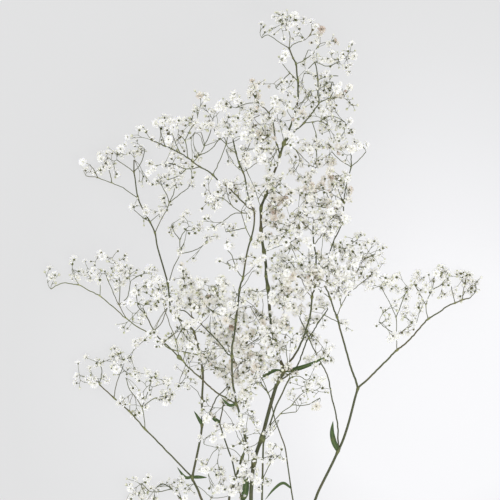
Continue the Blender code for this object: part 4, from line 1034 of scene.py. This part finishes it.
def dress():
    """Everything that shows of the plant."""
    rng = random.Random(SEED)
    plant = Plant()
    tips, routes = [], []
    for name, parent, radii, route in rows(BRANCHES):
        r0, r1 = (float(n) for n in radii.split())
        ids = grow_route(plant, name, None if parent == "-" else parent, route, r0, r1)
        routes.append((name, ids, True))
        tips.append(ids[-1])
    for names, route in rows(TWIGS):
        name, parent = names.split(":")
        thin = TWIG_R * 1000
        ids = grow_route(plant, name, parent, route, thin * 1.1, thin)
        routes.append((name, ids, False))
        tips.append(ids[-1])
    tips = [i for i in tips if not plant.kids[i]]
    fine_tips = []
    for names, route in rows(FINE_TWIGS):
        name, parent = names.split(":")
        ids = grow_route(plant, name, parent, route, 0.30, 0.22)
        routes.append((name, ids, False))
        fine_tips.append(ids[-1])
    fine_tips = [i for i in fine_tips if not plant.kids[i]]
    plant.pos = [Vector((p.x + SHIFT_X, p.y, p.z)) for p in plant.pos]
    shares = {tip: [] for tip in tips}
    for u, v in flowers(rng):
        tip = min(
            tips,
            key=lambda i: math.hypot(plant.grid[i][0] - u, plant.grid[i][1] - v)
            + rng.uniform(0, 5),
        )
        du = math.hypot(plant.grid[tip][0] - u, plant.grid[tip][1] - v)
        z = plant.grid[tip][2] + rng.uniform(-1, 1) * (3.5 + 0.38 * min(du, 22) * 0.7)
        shares[tip].append((u, v, max(z, HEAD_R * 1000 * 0.9)))
    fine = random.Random(SEED + 2)
    for tip in tips:
        shares[tip] = [f for f in shares[tip] if not left_out(f[0], f[1], fine)]
    shares.update({tip: [] for tip in fine_tips})
    tips = [i for i in tips + fine_tips if not plant.kids[i]]
    for u, v in flowers(fine, FINE_MASSES):
        if left_out(u, v, fine):
            continue
        tip = min(
            tips,
            key=lambda i: math.hypot(plant.grid[i][0] - u, plant.grid[i][1] - v)
            + fine.uniform(0, 4)
            - (3 if i in fine_tips else 0),
        )
        du = math.hypot(plant.grid[tip][0] - u, plant.grid[tip][1] - v)
        z = plant.grid[tip][2] + fine.uniform(-1, 1) * (4 + 0.3 * min(du, 22)) + 2.0
        shares[tip].append((u, v, max(z, 2.6)))
    names = list(dict.fromkeys(plant.piece))
    twigs = {name: Build() for name in names}
    blooms = {name: Build() for name in names}
    more = random.Random(SEED + 1)
    opened, half, bud, cup = templates()
    count = {"open": 0, "half": 0, "bud": 0}

    # Thick and thin stems along the laid-out routes.
    for name, ids, thick in routes:
        pts = [(*plant.pos[i], plant.rad[i]) for i in ids]
        pts[0] = (*pts[0][:3], plant.rad[ids[1]] * (1.0 if plant.up[ids[0]] is None else 1.12))
        if not thick:
            pts = [(x, y, z, r * 0.8) for x, y, z, r in pts]
        line = smooth_line(pts, 5 if thick else 4)
        if not thick or name.startswith(("branch", "spray")):
            drift = np.array([more.gauss(0, 1) for _ in range(len(line) * 3)]).reshape(-1, 3)
            keep = np.minimum(np.arange(len(line)), 1)[:, None]
            line[:, :3] += drift * keep * 0.00012
        joints = [
            (plant.pos[i], plant.rad[i])
            for i in ids[1:]
            if len(plant.kids[i]) > 1
        ]
        line, near = bulged(line, joints, 0.55 if thick else 0.5)
        level = 0.18 if name in ("main_stem", "side_stem_right") else 0.22
        if not thick:
            level = 0.42
        if name in ("branch_right_long", "branch_left_high", "branch_left_low"):
            level = 0.36
        if name == "branch_left_middle":
            level = 0.62
            line[:, 3] *= 0.8
        tone = level + near * 0.5 + np.array([more.uniform(-0.05, 0.05) for _ in near])
        sides = 14 if name == "main_stem" and thick else (9 if thick else 6)
        tube(twigs[name], line, sides, tone, closed=(plant.up[ids[0]] is None, True))
        if thick or len(joints):
            for centre, size in joints:
                if size < 0.0008:
                    at = min(range(len(line)), key=lambda k: np.linalg.norm(line[k, :3] - np.asarray(centre)))
                    way = line[min(at + 1, len(line) - 1), :3] - line[max(at - 1, 0), :3]
                    for side in (0, math.pi):
                        rot = frame_of(way, side + more.uniform(-0.5, 0.5))
                        twigs[name].add(BRACT[0] @ rot.T * more.uniform(0.0013, 0.0024) + np.asarray(centre), BRACT[1], 0.62, 0.0)

    for name, spot, size in rows(KNOBS):
        at = plant.nearest(name, *(float(n) for n in spot.split(",")))
        way = plant.pos[at] - plant.pos[plant.up[at]]
        put(twigs[name], KNOB, plant.pos[at], way, float(size) / 1000 * 0.74, more.uniform(0, 6), 0.66)

    # Flowers and buds.
    for tip in tips:
        name = plant.piece[tip]
        spots, kinds = [], []
        own = shares[tip] or [(plant.grid[tip][0] + 1.5, plant.grid[tip][1] - 2.5, plant.grid[tip][2] + 1)]
        for u, v, z in list(own):
            for _ in range(2):
                if more.random() < COMPANIONS / 2:
                    a, d = more.uniform(0, math.tau), more.uniform(3.6, 7.5)
                    beside = (u + d * math.cos(a), v + d * math.sin(a), max(z + more.uniform(-3, 5), 2.3))
                    if not left_out(*beside[:2], more):
                        own.append(beside)
        for u, v, z in own:
            spots.append(placed(u, v, z / 1000))
        extra = round(len(own) * BUDS_PER_FLOWER + more.uniform(0, 1))
        for _ in range(extra):
            u, v, z = own[more.randrange(len(own))]
            a, d = more.uniform(0, math.tau), more.uniform(3.0, 7.5)
            spots.append(placed(u + d * math.cos(a), v + d * math.sin(a), max(z + more.uniform(-4, 4), 1.6) / 1000))
        kinds = ["flower"] * len(own) + ["bud"] * extra
        lookup = {tuple(round(c, 7) for c in p): k for p, k in zip(spots, kinds)}
        ends = grow_twigs(twigs[name], plant, tip, spots, more)
        gu, gv = plant.grid[tip][:2]
        warm = warmth(gu, gv)
        for where, way in ends:
            kind = lookup.get(tuple(round(c, 7) for c in where), "bud")
            axis = (way * 0.8 + Vector((more.uniform(-0.7, 0.7), more.uniform(-0.3, 0.9), more.uniform(-0.45, 0.65)))).normalized()
            spin = more.uniform(0, 6.28)
            if kind == "flower":
                chance = more.random()
                if chance < 0.74:
                    tone = min(0.95, max(0.0, more.gauss(0.14 + 0.60 * warm, 0.15)))
                    size = 0.0028 * more.choice((0.78, 0.86, 0.92, 1.0, 1.0, 1.08, 1.2))
                    shape = opened[more.randrange(len(opened))]
                    put(blooms[name], shape, where, axis, size, spin, tone + shape[3], shape[2])
                    put(twigs[name], cup, where, axis, size * 0.68, spin, 0.46)
                    count["open"] += 1
                else:
                    tone = min(0.9, max(0.0, more.gauss(0.28 + 0.52 * warm, 0.14)))
                    size = 0.0021 * more.uniform(0.8, 1.2)
                    shape = half[more.randrange(len(half))]
                    put(blooms[name], shape, where, axis, size, spin, tone + shape[3], shape[2])
                    put(twigs[name], cup, where, axis, size * 0.80, spin, 0.52)
                    count["half"] += 1
            else:
                size = more.choice((0.0007, 0.00085, 0.001, 0.0012))
                tone = more.uniform(0.0, 0.6)
                rings = np.repeat(np.linspace(0, 1, 6), 7)
                put(blooms[name], bud, where, axis, size, spin, tone, rings, 1)
                count["bud"] += 1

    petals, buds_mat, stems, leaf_mat = petal_material(), bud_material(), stem_material(), leaf_material()
    total = 0
    for name in names:
        made = twigs[name].object(name + "_twigs", [stems])
        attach(made, "root")
        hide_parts(name)
        total += sum(len(f) for f in twigs[name].f)
        flowers_made = blooms[name].object(name + "_flowers", [petals, buds_mat])
        if flowers_made:
            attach(flowers_made, "root")
            total += sum(len(f) for f in blooms[name].f)
    for name, parent, width, route in rows(LEAVES):
        first = [float(n) for n in route.split()[0].split(",")]
        base = plant.nearest(parent, first[0], first[1])
        points = [placed(u, v, z / 1000) for u, v, z in route_of(route, plant.grid[base][2])]
        points[0] = plant.pos[base]
        build = Build()
        leaf_blade(build, points, float(width) / 1000 * 1.08, more.uniform(0.3, 0.7))
        made = build.object(name + "_blade", [leaf_mat])
        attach(made, "root")
        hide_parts(name)
    print("flowers", count, "faces", total, "most", max(sum(len(f) for f in b.f) for b in list(blooms.values()) + list(twigs.values())))


def warmth(u, v):
    """How tired the flowers are at a layout point: most at the heart and the right of the crown."""
    out = 0.0
    for cu, cv, r, w in WARM:
        out = max(out, w * math.exp(-((u - cu) ** 2 + (v - cv) ** 2) / (r * r)))
    return out


WARM = (
    (275, 200, 22, 1.0),
    (325, 178, 24, 0.9),
    (265, 220, 16, 1.0),
    (298, 298, 18, 1.0),
    (292, 318, 14, 0.7),
    (245, 356, 22, 0.8),
    (258, 345, 20, 0.6),
    (210, 300, 24, 0.4),
    (328, 148, 14, 0.8),
    (352, 150, 8, 0.8),
    (262, 95, 14, 0.8),
    (334, 96, 12, 0.8),
    (320, 45, 8, 0.7),
    (272, 130, 14, 0.8),
    (196, 120, 10, 0.4),
    (290, 236, 10, 0.7),
    (186, 362, 14, 0.4),
    (312, 262, 12, 0.7),
    (216, 398, 10, 0.6),
    (283, 371, 9, 0.8),
)
BUDS_PER_FLOWER = 0.6
COMPANIONS = 0.95
# Swollen joints: piece, layout point, radius in mm
KNOBS = """
main_stem | 284,143 | 2.2
main_stem | 262,206 | 1.7
main_stem | 262,438 | 1.9
main_stem | 296,108 | 1.3
main_stem | 266,275 | 1.7
main_stem | 293,58 | 1.1
main_stem | 275,341 | 1.4
main_stem | 284,371 | 1.6
side_stem_left | 193,478 | 1.6
side_stem_left | 202,425 | 1.7
side_stem_left | 194,332 | 1.7
side_stem_left | 171,311 | 1.5
side_stem_left | 138,198 | 0.9
side_stem_left_centre | 232,356 | 1.8
side_stem_left_centre | 236,404 | 1.5
side_stem_left_centre | 246,448 | 1.5
side_stem_left_centre | 243,278 | 1.2
side_stem_left_centre | 251,239 | 1.5
side_stem_right | 358,388 | 1.5
side_stem_right | 338,451 | 1.3
branch_left_high | 179,357 | 2.2
branch_left_high | 154,331 | 1.1
branch_centre | 312,297 | 1.6
branch_right_upper | 337,317 | 1.4
branch_upper_left | 213,175 | 1.2
branch_right_inner | 309,338 | 1.2
branch_right_top | 344,202 | 1.5
branch_top_right | 304,123 | 1.2
branch_right_long | 397,350 | 1.0
branch_left_low | 145,429 | 0.9
"""


def studio():
    """Floor, soft lights, camera."""
    scene = bpy.context.scene
    scene.view_settings.view_transform = "Standard"
    scene.cycles.max_bounces = 14
    scene.cycles.diffuse_bounces = 10
    mesh = bpy.data.meshes.new("floor")
    mesh.from_pydata([(-30, -30, 0), (30, -30, 0), (30, 30, 0), (-30, 30, 0)], [], [(0, 1, 2, 3)])
    floor = bpy.data.objects.new("floor", mesh)
    scene.collection.objects.link(floor)
    floor.location = (0, 0, -0.0004)
    mesh.materials.append(floor_material())
    world = bpy.data.worlds.new("studio")
    scene.world = world
    world.use_nodes = True
    world.node_tree.nodes["Background"].inputs[0].default_value = (0.96, 0.975, 1.0, 1)
    world.node_tree.nodes["Background"].inputs[1].default_value = WORLD
    for name, where, size, power, colour in LIGHTS:
        light = bpy.data.lights.new(name, "AREA")
        light.shape = "DISK"
        light.size = size
        light.energy = power
        light.color = colour
        obj = bpy.data.objects.new(name, light)
        obj.location = where
        obj.rotation_euler = (-Vector(where)).to_track_quat("-Z", "Y").to_euler()
        scene.collection.objects.link(obj)
    cam = bpy.data.cameras.new("camera")
    cam.sensor_width = 36
    cam.lens = 36 * EYE / (500 * GRID)
    cam.clip_start, cam.clip_end = 0.05, 100
    obj = bpy.data.objects.new("camera", cam)
    obj.location = placed(EYE_U, EYE_V, MID_Z + EYE)
    scene.collection.objects.link(obj)
    scene.camera = obj


WORLD = 1.0
LIGHTS = (
    ("key", (1.2, -0.9, 1.9), 1.6, 15.0, (1.0, 0.99, 0.97)),
    ("fill", (-1.4, 0.8, 1.7), 1.8, 6.0, (0.97, 0.985, 1.0)),
)

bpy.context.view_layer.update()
dress()
studio()
